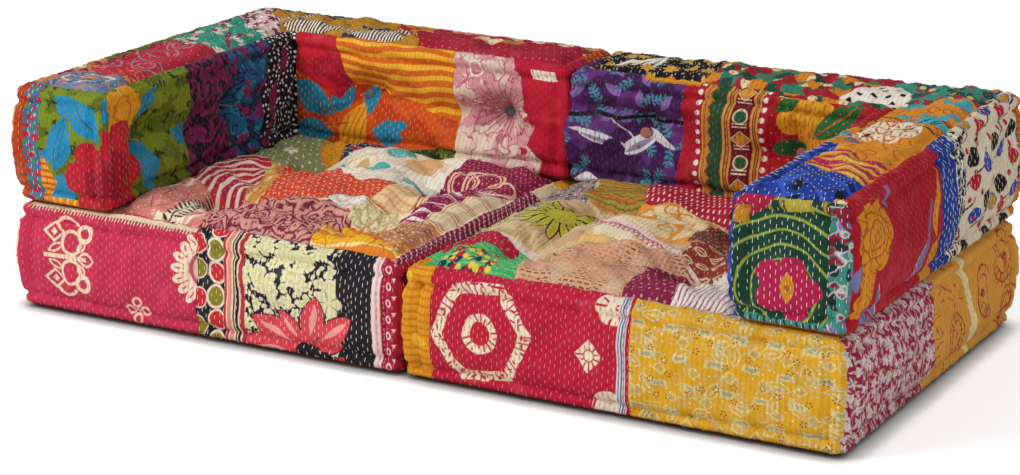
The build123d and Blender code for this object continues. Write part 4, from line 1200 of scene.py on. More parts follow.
        (wavy(either(tiled(132, 62, at(0, 0, box(150, 3.4), 22), 0.5),
            tiled(200, 90, at(0, 0, box(120, 2.6), 60), 0.5)), 50, 9), "#17141a"),
        (loose_berries(-26, 18, 22), "#17141a"), (loose_berries(26, 0, 22), "#2747a8"),
        (loose_berries(-26, -22, 19), "#b01d2c"), (loose_berries(4, 14, 5, 1, 0.5), "#b01d2c"),
        (loose_berries(26, 38, 18, 1.4, 2), "#c68a24"),
    ]),
    "orange_roll": ("#d67d1e", "yellow", [(wavy(veins(20, 3, 5), 20, 5), "#a84a16")]),
    "base_rust": ("#a4481f", "yellow", []),
}


# Patches of each panel, from the lowest up, in the panel's own millimetres: across, then up or back


def bar(left, right):
    return [(left, -60), (right, -60), (right, 520), (left, 520)]


def whole(cloth):
    return (cloth, [(-900, -500), (900, -500), (900, 600), (-900, 600)])


PATCHES = {
    "left_seat": {
        "top": [
            whole("cream_plain"),
            ("salmon_vine", [(-800, -400), (-432, -400), (-410, -325), (-515, -210), (-620, -120), (-800, -100)]),
            ("red_fan", [(-800, -100), (-620, -165), (-480, -232), (-455, -215), (-450, -120), (-490, 0), (-600, 60),
                (-800, 60)]),
            ("star_gold", [(-455, -226), (-418, -215), (-440, -100), (-486, 20), (-530, 40), (-480, -100),
                (-478, -140)]),
            ("sage", [(-800, 60), (-600, 45), (-525, 0), (-470, 20), (-460, 90), (-498, 145), (-520, 230),
                (-800, 230)]),
            ("ochre_plain", [(-498, 130), (-462, 92), (-440, 116), (-470, 240), (-530, 240)]),
            ("navy_bloom", [(-442, 105), (-300, 190), (-300, 400), (-480, 400), (-475, 215)]),
            ("orange_dots", [(-215, -155), (-225, -35), (-300, -46), (-345, -20), (-465, 92), (-500, 10), (-440, -110),
                (-420, -215), (-325, -206)]),
            ("white_ovals", [(-300, 260), (-465, 90), (-345, -25), (-300, -50), (-220, -30), (-180, -5), (-195, 95),
                (-160, 260)]),
            ("pale_blue", [(-205, -195), (-220, -140), (-275, -145), (-285, -180), (-255, -212), (-225, -218)]),
            ("vermicular", [(-212, -200), (-262, -190), (-435, -212), (-436, -380), (-432, -400), (-200, -400),
                (-195, -365)]),
            ("cream_scribble", [(-120, -205), (-160, -145), (-212, -152), (-232, -175), (-222, -218), (-150, -222)]),
            ("beige_plaid", [(-128, -120), (-165, 25), (-215, -40), (-222, -155), (-160, -147)]),
            ("burgundy_loops", [(-190, -8), (-80, -50), (-50, 10), (-8, 110), (-8, 260), (-175, 260), (-200, 95)]),
            ("burgundy_wave", [(-70, -145), (-78, -42), (-112, -10), (-140, -40), (-130, -120), (-125, -205),
                (-105, -228), (-72, -200)]),
            ("cream_plaid", [(-36, 40), (-78, -40), (-76, -215), (-40, -230), (-28, -185)]),
            ("orange_waves", [(-165, -212), (-218, -232), (-212, -310), (-200, -400), (-20, -400), (-20, -240),
                (-110, -226)]),
            ("dotted_disc", [(-160, -232), (-140, -290), (-95, -328), (-40, -352), (-22, -310), (-22, -240),
                (-35, -208), (-70, -205), (-110, -212)]),
        ],
        "front_band": [
            ("raspberry", bar(-900, -416)), ("black_ovals", bar(-418, -360)), ("pink_stripes", bar(-361, -315)),
            ("charcoal_bloom", bar(-316, -42)), ("crimson_rings", bar(-46, 10)),
            ("cream_edge", [(-790, 198), (-560, 200), (-424, 198), (-424, 214), (-790, 211)]),
        ],
        "outer_band": [whole("sage"), ("raspberry", bar(-420, -250)), ("golden_paisley", bar(120, 420)),
            ("teal_bloom", bar(-20, 120))],
        "back_band": [whole("crimson_rose"), ("navy_bloom", bar(-820, -560)), ("tan_rows", bar(-330, -120)),
            ("orange_waves", bar(-120, 20))],
        "inner_band": [whole("burgundy_marks"), ("crimson_rings", bar(-420, -210)), ("cream_plain", bar(110, 190)),
            ("orange_waves", bar(190, 420))],
        "rim_inner_band": [whole("burgundy_marks"), ("cream_plain", bar(110, 190)), ("orange_waves", bar(190, 420))],
    },
    "right_seat": {
        "top": [
            whole("tan_plain"),
            ("green_beads", [(8, -400), (205, -400), (217, -345), (180, -222), (125, -208), (60, -236), (8, -300)]),
            ("red_sliver", [(8, -160), (30, -200), (22, -318), (62, -300), (128, -226), (124, -204)]),
            ("daisy_beige", [(8, 60), (28, -182), (95, -210), (180, -222), (228, -190), (222, -110), (140, 80),
                (110, 95), (60, 50)]),
            ("lilac_small", [(8, 240), (8, 40), (60, 45), (100, 92), (70, 240)]),
            ("olive_stripes", [(215, 95), (200, 160), (130, 260), (60, 260), (95, 150), (85, 105), (120, 88),
                (155, 92)]),
            ("red_dashes", [(640, 45), (352, 30), (318, 22), (215, 96), (150, 260), (640, 260)]),
            ("orange_floral", [(640, 60), (400, 80), (300, 92), (205, 100), (196, -60), (330, -120), (640, -160)]),
            ("cream_field", [(215, -130), (228, -198), (340, -188), (425, -168), (240, -66)]),
            ("yellow_tip", [(330, -165), (222, -160), (224, -205), (265, -222), (310, -200)]),
            ("chain", [(222, -60), (196, -90), (345, -160), (420, -190), (520, -216), (530, -196), (414, -160),
                (325, -112)]),
            ("tan_rows", [(176, -218), (204, -400), (400, -400), (424, -310), (428, -168), (375, -160), (262, -200)]),
            ("tiny_check", [(640, -20), (400, 10), (398, -118), (640, -170)]),
            ("rust_leaf", [(412, -110), (408, -162), (500, -222), (640, -250), (640, -120)]),
            ("burgundy_dots", [(385, -215), (400, -400), (486, -400), (500, -310), (468, -206), (425, -196)]),
            ("peony", [(478, -205), (466, -240), (486, -355), (486, -400), (640, -400), (640, -200)]),
        ],
        "front_band": [("marigold", bar(-10, 61)), ("tie_dye", bar(60, 434)), ("golden_blocks", bar(433, 900))],
        "outer_band": [("maroon_bloom", bar(-900, 0)), ("golden_paisley",
            [(-60, -50), (420, -50), (420, 300), (0, 300)])],
        "back_band": [whole("tan_rows"), ("garden", bar(-20, 250)), ("raspberry", bar(250, 470)),
            ("olive_stripes", bar(690, 820))],
        "inner_band": [whole("orange_floral"), ("marigold", bar(-420, -340)), ("green_beads", bar(-340, -60))],
        "rim_inner_band": [whole("lilac_small"), ("marigold", bar(-420, -345)), ("green_beads", bar(-345, -300)),
            ("red_sliver", bar(-300, -160)), ("daisy_beige", bar(-160, 20))],
    },
    "left_bolster": {
        "top": [
            whole("red_paisley"),
            ("slate_leaf", [(-615, -285), (-765, -285), (-810, -300), (-810, -410), (-600, -410)]),
            ("red_paisley", [(-630, 10), (-780, -20), (-765, -285), (-640, -285), (-615, -250), (-615, 0)]),
            ("teal_feather", [(-810, 295), (-810, -25), (-700, -5), (-630, 10), (-600, 30), (-600, 205), (-735, 295)]),
            ("pink_burgundy", [(-810, 400), (-810, 275), (-620, 165), (-600, 215), (-700, 320), (-740, 400)]),
            ("mustard_feather", [(-435, 410), (-745, 410), (-735, 330), (-645, 225), (-600, 205), (-345, 205),
                (-350, 262)]),
            ("crimson_rose", [(0, 410), (-440, 410), (-445, 340), (-345, 255), (-345, 205), (0, 205)]),
        ],
        "arm_front_band": [whole("olive_leaves"), ("rust", bar(-820, -778)), ("tricolour", bar(-779, -750))],
        "arm_inner_band": [
            whole("olive_bloom"), ("maroon_black", bar(-137, 2)), ("indigo_magenta", bar(1, 102)),
            ("black_dots", bar(100, 240)),
            ("indigo_magenta", [(100, 330), (128, 352), (140, 430), (100, 430)]),
        ],
        "back_inner_band": [
            whole("black_dots_wide"), ("orange_blue", bar(-606, -248)),
            ("scarlet", [(-606, 440), (-516, 440), (-510, 400), (-482, 346), (-512, 300), (-540, 322), (-606, 352)]),
            ("amber_waves", [(-516, 440), (-246, 440), (-246, 284), (-330, 306), (-400, 320), (-486, 332),
                (-512, 398)]),
            ("moss", [(-560, 190), (-248, 190), (-248, 232), (-330, 222), (-440, 214), (-560, 214)]),
            ("rose_smoke", bar(-250, -60)),
            ("crimson_rows", [(10, 190), (-62, 190), (-64, 238), (-96, 262), (-84, 300), (-110, 330), (-106, 372),
                (-128, 440), (10, 440)]),
        ],
        "back_end_band": [whole("crimson_rows"), ("rust", bar(300, 420))],
        "arm_outer_band": [whole("tricolour"), ("crimson_rose", bar(-420, -160)), ("olive_bloom", bar(-160, 60)),
            ("teal_bloom", bar(60, 420))],
        "back_outer_band": [whole("mustard_feather"), ("indigo_magenta", bar(-820, -600)),
            ("salmon_vine", bar(-330, -120)), ("crimson_rose", bar(-120, 20))],
    },
    "right_bolster": {
        "top": [
            whole("black_gold"),
            ("garden", [(262, 205), (330, 205), (622, 205), (622, 300), (560, 410), (262, 410)]),
            ("white_black_ovals", [(520, 248), (560, 205), (672, 180), (640, 300), (600, 330), (545, 300)]),
            ("teal_bloom", [(810, 250), (810, 410), (560, 410), (600, 322), (640, 296), (672, 185), (750, 240)]),
            ("orange_branch", [(600, -60), (660, -130), (745, -175), (810, -180), (810, 262), (750, 262), (672, 195),
                (600, 240)]),
            ("gold_magenta", [(640, -230), (750, -275), (810, -275), (810, -170), (745, -165), (664, -120),
                (640, -150)]),
            ("cobalt", [(600, -410), (810, -410), (810, -285), (750, -280), (655, -240), (650, -170), (668, -122),
                (640, -60), (600, 10)]),
        ],
        "arm_front_band": [whole("green_swirl"), ("teal_crimson", bar(766, 830))],
        "arm_inner_band": [whole("golden_bloom"), ("cobalt", bar(-420, -140))],
        "back_inner_band": [
            ("purple_leaves", bar(-10, 240)), ("red_border", bar(238, 415)), ("golden_bloom", bar(413, 640)),
            ("red_border", [(222, 190), (262, 190), (262, 300), (240, 300)]),
        ],
        "back_end_band": [whole("purple_leaves"), ("black_gold", bar(300, 420))],
        "arm_outer_band": [("crimson_garden", bar(-420, -24)), ("blue_black", bar(-26, 90)),
            ("berry_branch", bar(88, 380)), ("orange_roll", bar(378, 420))],
        "back_outer_band": [whole("scarlet_roll"), ("berry_branch", bar(640, 830)), ("golden_bloom", bar(300, 480)),
            ("teal_bloom", bar(120, 300))],
        "rim_arm_front_band": [whole("cobalt"), ("orange_floral", bar(770, 830))],
        "rim_arm_inner_band": [whole("golden_bloom"), ("cobalt", bar(-420, -60)), ("orange_branch", bar(-60, 60))],
        "rim_back_inner_band": [whole("purple_leaves"), ("marigold", bar(150, 300)), ("red_border", bar(262, 415)),
            ("garden", bar(413, 640))],
    },
}
BASE_CLOTH = "base_rust"

# Numbers of a cushion's sheets: its top, its base, then its sides, and their rims on the top
TOP_SHEET, BASE_SHEET, FIRST_SIDE_SHEET, FIRST_RIM_SHEET = 0, 1, 2, 10


class Sheet:
    """A flat part of a cushion's form, with its own across and up, and the patches sewn on it."""

    def __init__(self, number, across, up, shift, fixed, outward, patches, side=None):
        self.number = number
        self.side = side
        self.across = across
        self.up = up
        self.shift = shift
        self.fixed = fixed
        self.outward = outward
        self.patches = patches

    def flat(self, points):
        return np.stack([points @ self.across, points @ self.up + self.shift], 1)

    def place(self, spots):
        return self.fixed + spots[:, :1] * self.across + (spots[:, 1:] - self.shift) * self.up

    def cloth_of(self, spots):
        """The number, in this sheet's list of patches, of the patch that shows at each spot."""
        found = np.zeros(len(spots), int)
        for i, (_, outline) in enumerate(self.patches):
            found[inside_outline(spots, outline)] = i
        return found


def inside_outline(spots, outline):
    inside = np.zeros(len(spots), bool)
    x, y = spots[:, 0], spots[:, 1]
    for (x0, y0), (x1, y1) in zip(outline, outline[1:] + outline[:1]):
        if y0 == y1:
            continue
        crosses = ((y0 > y) != (y1 > y)) & (x < (x1 - x0) * (y - y0) / (y1 - y0) + x0)
        inside ^= crosses
    return inside


def sheets_of(cushion):
    table = PATCHES[cushion.name]
    flip, back, upright = np.array([cushion.sense, 0, 0.0]), np.array([0, 1.0, 0]), np.array([0, 0, 1.0])
    top, base = upright * cushion.high, upright * cushion.low
    sheets = [
        Sheet(TOP_SHEET, flip, back, 0, top, upright, table["top"]),
        Sheet(BASE_SHEET, flip, back, 0, base, -upright, [whole(BASE_CLOTH)]),
    ]
    rims = []
    for i, side in enumerate(cushion.sides):
        across = flip if side.runs_across else back
        normal = np.array([side.outward[0], side.outward[1], 0])
        fixed = np.array([0, side.start[1], 0]) if side.runs_across else np.array([side.start[0], 0, 0])
        patches = table[side.name]
        sheets.append(Sheet(FIRST_SIDE_SHEET + i, across, upright, 0, fixed, normal, patches, side))
        shift = cushion.high + fixed @ normal
        patches = table.get("rim_" + side.name, patches)
        rims.append(Sheet(FIRST_RIM_SHEET + i, across, -normal, shift, top, upright, patches, side))
    return sheets + rims


# Making the covers


def grid_lines(limits, step):
    """Evenly spaced lines between each two limits in turn."""
    limits = sorted(set(round(limit, 4) for limit in limits))
    lines = [np.array(limits[:1])]
    for low, high in zip(limits, limits[1:]):
        count = max(1, round((high - low) / step))
        lines.append(np.linspace(low, high, count + 1)[1:])
    return np.concatenate(lines)


def lattice(cushion, step):
    """Vertices, four-cornered faces and the sheet number of each face, for the plain form of a cushion."""
    limits_x, limits_y = [], []
    for low_x, high_x, low_y, high_y in cushion.plan:
        limits_x += [low_x, high_x, low_x + RIM, high_x - RIM]
        limits_y += [low_y, high_y, low_y + RIM, high_y - RIM]
    xs, ys = grid_lines(limits_x, step), grid_lines(limits_y, step)
    zs = grid_lines([cushion.low, cushion.low + HEM[cushion.name], cushion.high], step)
    span_y, span_z = len(ys), len(zs)

    def key(i, j, k):
        return (i * span_y + j) * span_z + k

    quads, numbers = [], []

    def add(corner_keys, number):
        quads.append(np.stack(corner_keys, -1).reshape(-1, 4))
        numbers.append(np.broadcast_to(number, len(quads[-1])))

    # The top, with its rims, and the base
    i, j = np.meshgrid(np.arange(len(xs) - 1), np.arange(len(ys) - 1), indexing="ij")
    centre = np.stack([(xs[i] + xs[i + 1]) / 2, (ys[j] + ys[j + 1]) / 2], -1).reshape(-1, 2)
    inside = depth_in_plan(centre, cushion.plan) > 0
    i, j, centre = i.ravel()[inside], j.ravel()[inside], centre[inside]
    zone, nearest = np.full(len(centre), TOP_SHEET), np.full(len(centre), float(RIM))
    for number, side in enumerate(cushion.sides, FIRST_RIM_SHEET):
        run = side.run(centre)
        gap = np.abs(side.off(centre)) + np.maximum(np.maximum(-run, run - side.length), 0)
        zone = np.where(gap < nearest - SAME_PLACE, number, zone)
        nearest = np.minimum(nearest, gap)
    top, base = len(zs) - 1, 0
    add([key(i, j, top), key(i + 1, j, top), key(i + 1, j + 1, top), key(i, j + 1, top)], zone)
    add([key(i, j, base), key(i, j + 1, base), key(i + 1, j + 1, base), key(i + 1, j, base)], BASE_SHEET)

    # The sides, each a grid between its two ends, with the hem at its foot
    for number, side in enumerate(cushion.sides, FIRST_SIDE_SHEET):
        lines, others = (xs, ys) if side.runs_across else (ys, xs)
        axis, other = (X, Y) if side.runs_across else (Y, X)
        first = int(np.argmin(abs(lines - side.start[axis])))
        last = int(np.argmin(abs(lines - side.end[axis])))
        fixed = int(np.argmin(abs(others - side.start[other])))
        way = 1 if last > first else -1
        run, k = np.meshgrid(np.arange(first, last, way), np.arange(len(zs) - 1), indexing="ij")

        def here(a, b):
            return key(a, fixed, b) if side.runs_across else key(fixed, a, b)

        number = np.where(k.ravel() == 0, BASE_SHEET, number)
        add([here(run, k), here(run + way, k), here(run + way, k + 1), here(run, k + 1)], number)
    quads, numbers = np.concatenate(quads), np.concatenate(numbers)
    used, places = np.unique(quads, return_inverse=True)
    i, rest = np.divmod(used, span_y * span_z)
    j, k = np.divmod(rest, span_z)
    return np.stack([xs[i], ys[j], zs[k]], 1), places.reshape(-1, 4), numbers


def read(items, name, width=1, kind=float):
    """One value of every item of a mesh, as an array."""
    values = np.empty(len(items) * width, kind)
    items.foreach_get(name, values)
    return values.reshape(-1, width) if width > 1 else values


CUT_CELL = 10.0
CUT_STEP = 7
CUT_SNAP = 0.35


def cut_patches(mesh, sheets):
    """Cuts the flat form along the outline of every patch, so each seam runs as it was drawn."""
    centres = read(mesh.polygons, "center", 3)
    number = read(mesh.attributes["sheet"].data, "value", kind=np.int32)
    bm = bmesh.new()
    bm.from_mesh(mesh)
    layer = bm.faces.layers.int["sheet"]
    originals = list(bm.faces)
    for sheet in sheets:
        if len(sheet.patches) < 2:
            continue
        cells = {}
        here = np.flatnonzero(number == sheet.number)
        for index, (i, j) in zip(here, (sheet.flat(centres[here]) // CUT_CELL).astype(int)):
            cells.setdefault((int(i), int(j)), {})[originals[index]] = None
        for _, outline in sheet.patches[1:]:
            for start, end in zip(outline, outline[1:] + outline[:1]):
                cut_line(bm, layer, sheet, cells, np.array(start, float), np.array(end, float))
    bm.to_mesh(mesh)
    bm.free()


def cut_line(bm, layer, sheet, cells, start, end):
    """Cuts the faces of a sheet that lie near one straight line, and files the new ones in their cells."""
    length = np.linalg.norm(end - start)
    near = {}
    for share in np.linspace(0, 1, int(length / CUT_STEP) + 2):
        spot = start + (end - start) * share
        i, j = int(spot[0] // CUT_CELL), int(spot[1] // CUT_CELL)
        for di in (-1, 0, 1):
            for dj in (-1, 0, 1):
                near.update(cells.get((i + di, j + dj), {}))
    if not near:
        return
    across = np.array([end[1] - start[1], start[0] - end[0]]) / length
    faces = [face for face in near if face.is_valid]
    edges = list({edge: None for face in faces for edge in face.edges})
    verts = list({vert: None for face in faces for vert in face.verts})
    cut = bmesh.ops.bisect_plane(
        bm, geom=verts + edges + faces, dist=CUT_SNAP,
        plane_co=Vector(sheet.place(start[None])[0]),
        plane_no=Vector(sheet.across * across[0] + sheet.up * across[1]),
    )
    made = [item for item in cut["geom"] if isinstance(item, bmesh.types.BMFace) and item[layer] == sheet.number]
    if made:
        spots = sheet.flat(np.array([face.calc_center_median() for face in made]))
        for face, (i, j) in zip(made, (spots // CUT_CELL).astype(int)):
            cells.setdefault((int(i), int(j)), {})[face] = None


def corner_facts(mesh):
    """For each face corner: its vertex and its face."""
    totals = read(mesh.polygons, "loop_total", kind=np.int32)
    return read(mesh.loops, "vertex_index", kind=np.int32), np.repeat(np.arange(len(totals)), totals)


def make_cover(cushion, step, seam_depth):
    """The sewn cover of one cushion, cut into its patches and stuffed."""
    points, quads, numbers = lattice(cushion, step)
    sheets = sheets_of(cushion)
    mesh = bpy.data.meshes.new(cushion.name + "_cover")
    mesh.from_pydata(points, [], quads)
    mesh.attributes.new("sheet", "INT", "FACE").data.foreach_set("value", numbers.astype(np.int32))
    cut_patches(mesh, sheets)

    # The cloth of each face, and its place on the cloth
    flat = read(mesh.vertices, "co", 3)
    centres = read(mesh.polygons, "center", 3)
    number = read(mesh.attributes["sheet"].data, "value", kind=np.int32)
    vertex, face = corner_facts(mesh)
    names, slots = [], np.zeros(len(centres), np.int32)
    spots = np.zeros((len(vertex), 2))
    for sheet in sheets:
        here = number == sheet.number
        order = []
        for cloth, _ in sheet.patches:
            if cloth not in names:
                names.append(cloth)
            order.append(names.index(cloth))
        slots[here] = np.array(order)[sheet.cloth_of(sheet.flat(centres[here]))]
        corners = here[face]
        spots[corners] = sheet.flat(flat[vertex[corners]])
    for name in names:
        mesh.materials.append(cloth_material(name))
    mesh.polygons.foreach_set("material_index", slots)
    mesh.uv_layers.new(name="cloth").data.foreach_set("uv", (spots * MM).ravel())

    # A vertex where two cloths meet is on a seam, and sinks into the cloth once it is stuffed
    highest = np.full(len(flat), -1)
    lowest = np.full(len(flat), len(names))
    np.maximum.at(highest, vertex, slots[face])
    np.minimum.at(lowest, vertex, slots[face])
    seam = (highest != lowest).astype(float)
    placed = cushion.shaped(flat) * cushion.mirror * MM
    mesh.vertices.foreach_set("co", placed.ravel())
    if cushion.sense < 0:
        mesh.flip_normals()
    mesh.update()
    normals = read(mesh.vertices, "normal", 3)
    sunk = placed - normals * (seam * seam_depth * MM * (flat[:, 2] > cushion.low + 1))[:, None]
    mesh.vertices.foreach_set("co", sunk.ravel())
    mesh.shade_smooth()
    mesh.update()
    return mesh


# Materials


STITCH_ROW = 9.0
THREAD_PITCH = 1.1
FADED = (0.80, 0.74, 0.66, 1.0)
THREADS = {
    "cream": "#ecd9b8", "pink": "#ea95a0", "yellow": "#e6bc5c", "white": "#ece6d8",
    "rose": "#cc4a5b", "olive": "#9aa244", "dusk": "#6b5474",
}


def darker(colour, share):
    return tuple(share * part for part in colour[:3]) + (1.0,)


def new_material(name):
    material = bpy.data.materials.new(name)
    material.use_nodes = True
    tree = material.node_tree
    tree.nodes.clear()
    shader = tree.nodes.new("ShaderNodeBsdfPrincipled")
    add_node(tree, "ShaderNodeOutputMaterial", {"Surface": shader.outputs[0]})
    return material, tree, shader


def mixed(tree, mask, under, over, blend="MIX"):
    """Puts one colour over another where the mask is 1."""
    inputs = {"Factor": mask, "A": under, "B": over}
    return add_node(tree, "ShaderNodeMix", inputs, data_type="RGBA", blend_type=blend).outputs["Result"]


def grain(tree, scale, detail=2):
    """Fine noise on a piece's own coordinates."""
    place = tree.nodes.new("ShaderNodeTexCoord").outputs["Object"]
    return add_node(tree, "ShaderNodeTexNoise", {"Scale": scale, "Detail": detail, "Vector": place}).outputs["Fac"]


def emboss(tree, shader, height, distance, strength=1.0):
    bump = add_node(tree, "ShaderNodeBump", {"Strength": strength, "Distance": distance, "Height": height})
    wire(tree, shader, {"Normal": bump.outputs[0]})


def quilting(name="quilted_cotton"):
    """A node group that every cloth ends in: worn, uneven dye with a little painted shade in the grooves of the quilted
    rows, and the height of the weave and the quilted rows.
    """
    if name in bpy.data.node_groups:
        return bpy.data.node_groups[name]
    tree = bpy.data.node_groups.new(name, "ShaderNodeTree")
    for label, kind, way in (
        ("Dye", "NodeSocketColor", "INPUT"), ("Place", "NodeSocketVector", "INPUT"),
        ("Dye", "NodeSocketColor", "OUTPUT"), ("Height", "NodeSocketFloat", "OUTPUT"),
        ("Roughness", "NodeSocketFloat", "OUTPUT"),
    ):
        tree.interface.new_socket(label, in_out=way, socket_type=kind)
    given, made = tree.nodes.new("NodeGroupInput"), tree.nodes.new("NodeGroupOutput")
    x, y = parted(tree, given.outputs["Place"])
    ridges = abs((x * (math.pi / STITCH_ROW)).op("SINE"))
    turn = 2 * math.pi / THREAD_PITCH
    warp = (x * turn).op("SINE") * 0.5 + (y * turn).op("SINE") * 0.5
    pull = noise(x, y * 0.45, 7, 3, 2.0)
    height = ridges * 0.55 + warp * 0.05 + pull * 0.9
    worn = noise(x, y, 55, 8, 3.0)
    slub = noise(x * 0.3, y, 1.5, 4, 1.0)
    # Random wear and slub in the dye, plus painted shade: the dye is a little darker in the grooves of the quilted
    # rows, where the ridges are low
    wear_and_groove_shade = (worn - 0.5) * 0.34 + (slub - 0.5) * 0.22 + (ridges - 0.6) * 0.10 + 1.0
    grey = add_node(tree, "ShaderNodeCombineColor", {"Red": wear_and_groove_shade, "Green": wear_and_groove_shade, "Blue": wear_and_groove_shade})
    dye = mixed(tree, 1.0, given.outputs["Dye"], grey.outputs[0], "MULTIPLY")
    dye = mixed(tree, (worn - 0.6).op("MULTIPLY", 0.35, clamp=True), dye, FADED)
    wire(tree, made, {"Dye": dye, "Height": height, "Roughness": slub * 0.16 + 0.76})
    return tree


def cloth_material(name):
    if name in bpy.data.materials:
        return bpy.data.materials[name]
    ground, _, layers = CLOTHS[name]
    material, tree, shader = new_material(name)
    place = add_node(tree, "ShaderNodeUVMap", {}, uv_map="cloth").outputs[0]
    sized = add_node(tree, "ShaderNodeVectorMath", {0: place, "Scale": 1 / MM}, operation="SCALE").outputs[0]
    x, y = parted(tree, sized)
    colour = linear(ground)
    for shape, dye in layers:
        colour = mixed(tree, shape(x, y).mask(), colour, linear(dye))
    made = add_node(tree, "ShaderNodeGroup", {"Place": sized, "Dye": colour}, node_tree=quilting()).outputs
    wire(tree, shader, {"Base Color": made["Dye"], "Roughness": made["Roughness"], "Specular IOR Level": 0.2})
    emboss(tree, shader, made["Height"], 0.002, 0.8)
    return material


def thread_material(name):
    label = name + "_thread"
    if label in bpy.data.materials:
        return bpy.data.materials[label]
    material, tree, shader = new_material(label)
    place = tree.nodes.new("ShaderNodeTexCoord").outputs["Object"]
    twist = add_node(tree, "ShaderNodeTexWave", {"Scale": 700, "Vector": place}).outputs["Fac"]
    light = linear(THREADS[name])
    wire(tree, shader, {"Base Color": mixed(tree, twist, darker(light, 0.78), light), "Roughness": 0.7})
    return material


# Running stitches


def stitch_tree():
    """A node tree that lays one dash of thread on each guide point."""
    tree = bpy.data.node_groups.new("running_stitches", "GeometryNodeTree")
    sockets = [("Guides", "Geometry")]
    sockets += [(label, "Float") for label in ("Stitch length", "Thread width", "Thread rise")]
    sockets += [(name + " thread", "Material") for name in THREADS]
    for label, kind in sockets:
        tree.interface.new_socket(label, in_out="INPUT", socket_type="NodeSocket" + kind)
    tree.interface.new_socket("Stitches", in_out="OUTPUT", socket_type="NodeSocketGeometry")
    given = tree.nodes.new("NodeGroupInput").outputs

    def attribute(name, kind):
        node = add_node(tree, "GeometryNodeInputNamedAttribute", {"Name": name}, data_type=kind)
        return node.outputs["Attribute"]

    def turned(axis, pivot, inputs):
        node = add_node(tree, "FunctionNodeAlignRotationToVector", inputs, axis=axis, pivot_axis=pivot)
        return node.outputs["Rotation"]

    dash = add_node(tree, "GeometryNodeMeshIcoSphere", {"Radius": 0.5, "Subdivisions": 1})
    run = {0: attribute("stretch", "FLOAT"), 1: given["Stitch length"]}
    run = add_node(tree, "ShaderNodeMath", run, operation="MULTIPLY").outputs[0]
    size = add_node(tree, "ShaderNodeCombineXYZ", {0: run, 1: given["Thread width"], 2: given["Thread rise"]})
    along = turned("X", "AUTO", {"Vector": attribute("along", "FLOAT_VECTOR")})
    facing = turned("Z", "X", {"Rotation": along, "Vector": attribute("outward", "FLOAT_VECTOR")})
    lay = add_node(tree, "GeometryNodeInstanceOnPoints", {
        "Points": given["Guides"], "Instance": dash.outputs["Mesh"], "Rotation": facing, "Scale": size.outputs[0],
    })
    shown = add_node(tree, "GeometryNodeRealizeInstances", {0: lay.outputs[0]}).outputs[0]
    for i, name in enumerate(THREADS):
        inputs = {"A": attribute("thread", "INT"), "B": i}
        same = add_node(tree, "FunctionNodeCompare", inputs, data_type="INT", operation="EQUAL")
        shown = add_node(tree, "GeometryNodeSetMaterial", {
            "Geometry": shown, "Selection": same.outputs["Result"], "Material": given[name + " thread"],
        }).outputs[0]
    add_node(tree, "NodeGroupOutput", {0: shown})
    return tree


# Spread of the stitches about their even places, across and along the rows
STITCH_SCATTER = [0.35, 1.1]
TUFT_CLEARANCE = 20
TOP_STITCH_SHARE = 0.62


def guide_spots(sheet, cushion, spacing, length, gap, rng):
    """Spots of the running stitches of one sheet, in staggered rows."""
    lows_x, highs_x, lows_y, highs_y = zip(*cushion.plan)
    corners = [
        [x, y, z]
        for x in (min(lows_x), max(highs_x)) for y in (min(lows_y), max(highs_y)) for z in (cushion.low, cushion.high)
    ]
    limits = sheet.flat(np.array(corners, float))
    (left, bottom), (right, top) = limits.min(0), limits.max(0)
    if sheet.number >= FIRST_RIM_SHEET:
        bottom, top = cushion.high, cushion.high + RIM
    pitch = length + gap
    spots = []
    for index in np.arange(math.ceil(left / spacing), math.floor(right / spacing) + 1):
        vs = np.arange(bottom + length / 2, top - length / 2, pitch) + (index % 2) * pitch / 2
        vs = vs[vs < top - length / 2]
        spots.append(np.stack([np.full(len(vs), index * spacing), vs], 1))
    spots = np.concatenate(spots)
    return spots + rng.normal(0, STITCH_SCATTER, spots.shape)


def stitch_guides(cushion, spacing, length, gap):
    """Place, direction, outward normal, stretch and thread of every running stitch of a cushion."""
    rng = np.random.default_rng(cushion.seed + 50)
    names = list(THREADS)
    parts = []
    for sheet in sheets_of(cushion):
        if sheet.number == BASE_SHEET:
            continue
        spots = guide_spots(sheet, cushion, spacing, length, gap, rng)
        flat = sheet.place(spots)
        inside = depth_in_plan(flat, cushion.plan)
        if sheet.number == TOP_SHEET:
            keep = inside > RIM + length / 2 + 1
        else:
            run = sheet.side.run(flat)
            on_rim = sheet.number >= FIRST_RIM_SHEET
            end = 6 if on_rim else 5
            keep = (run > end) & (run < sheet.side.length - end)
            if on_rim:
                keep &= inside > 1
            else:
                keep &= (spots[:, 1] > cushion.low + HEM[cushion.name] + length / 2) & (np.abs(inside) < 1)
        keep &= cushion.covered(flat) < 0.5
        for tuft in cushion.tufts:
            keep &= np.linalg.norm(flat - tuft.place, axis=1) > TUFT_CLEARANCE
        spots, flat = spots[keep], flat[keep]
        chosen = np.array([names.index(CLOTHS[cloth][1]) for cloth, _ in sheet.patches])[sheet.cloth_of(spots)]
        short = np.full(len(flat), TOP_STITCH_SHARE if sheet.number == TOP_SHEET else 1.0)
        ways = [np.tile(way, (len(flat), 1)) for way in (sheet.up, sheet.across, sheet.outward)]
        parts.append((short, flat, *ways, chosen))
    short, flat, up, across, outward, chosen = (np.concatenate(group) for group in zip(*parts))
    place, along, out, stretch, chosen = laid_on(cushion, flat, up, across, outward, chosen, length, rng)
    return place, along, out, stretch * short, chosen


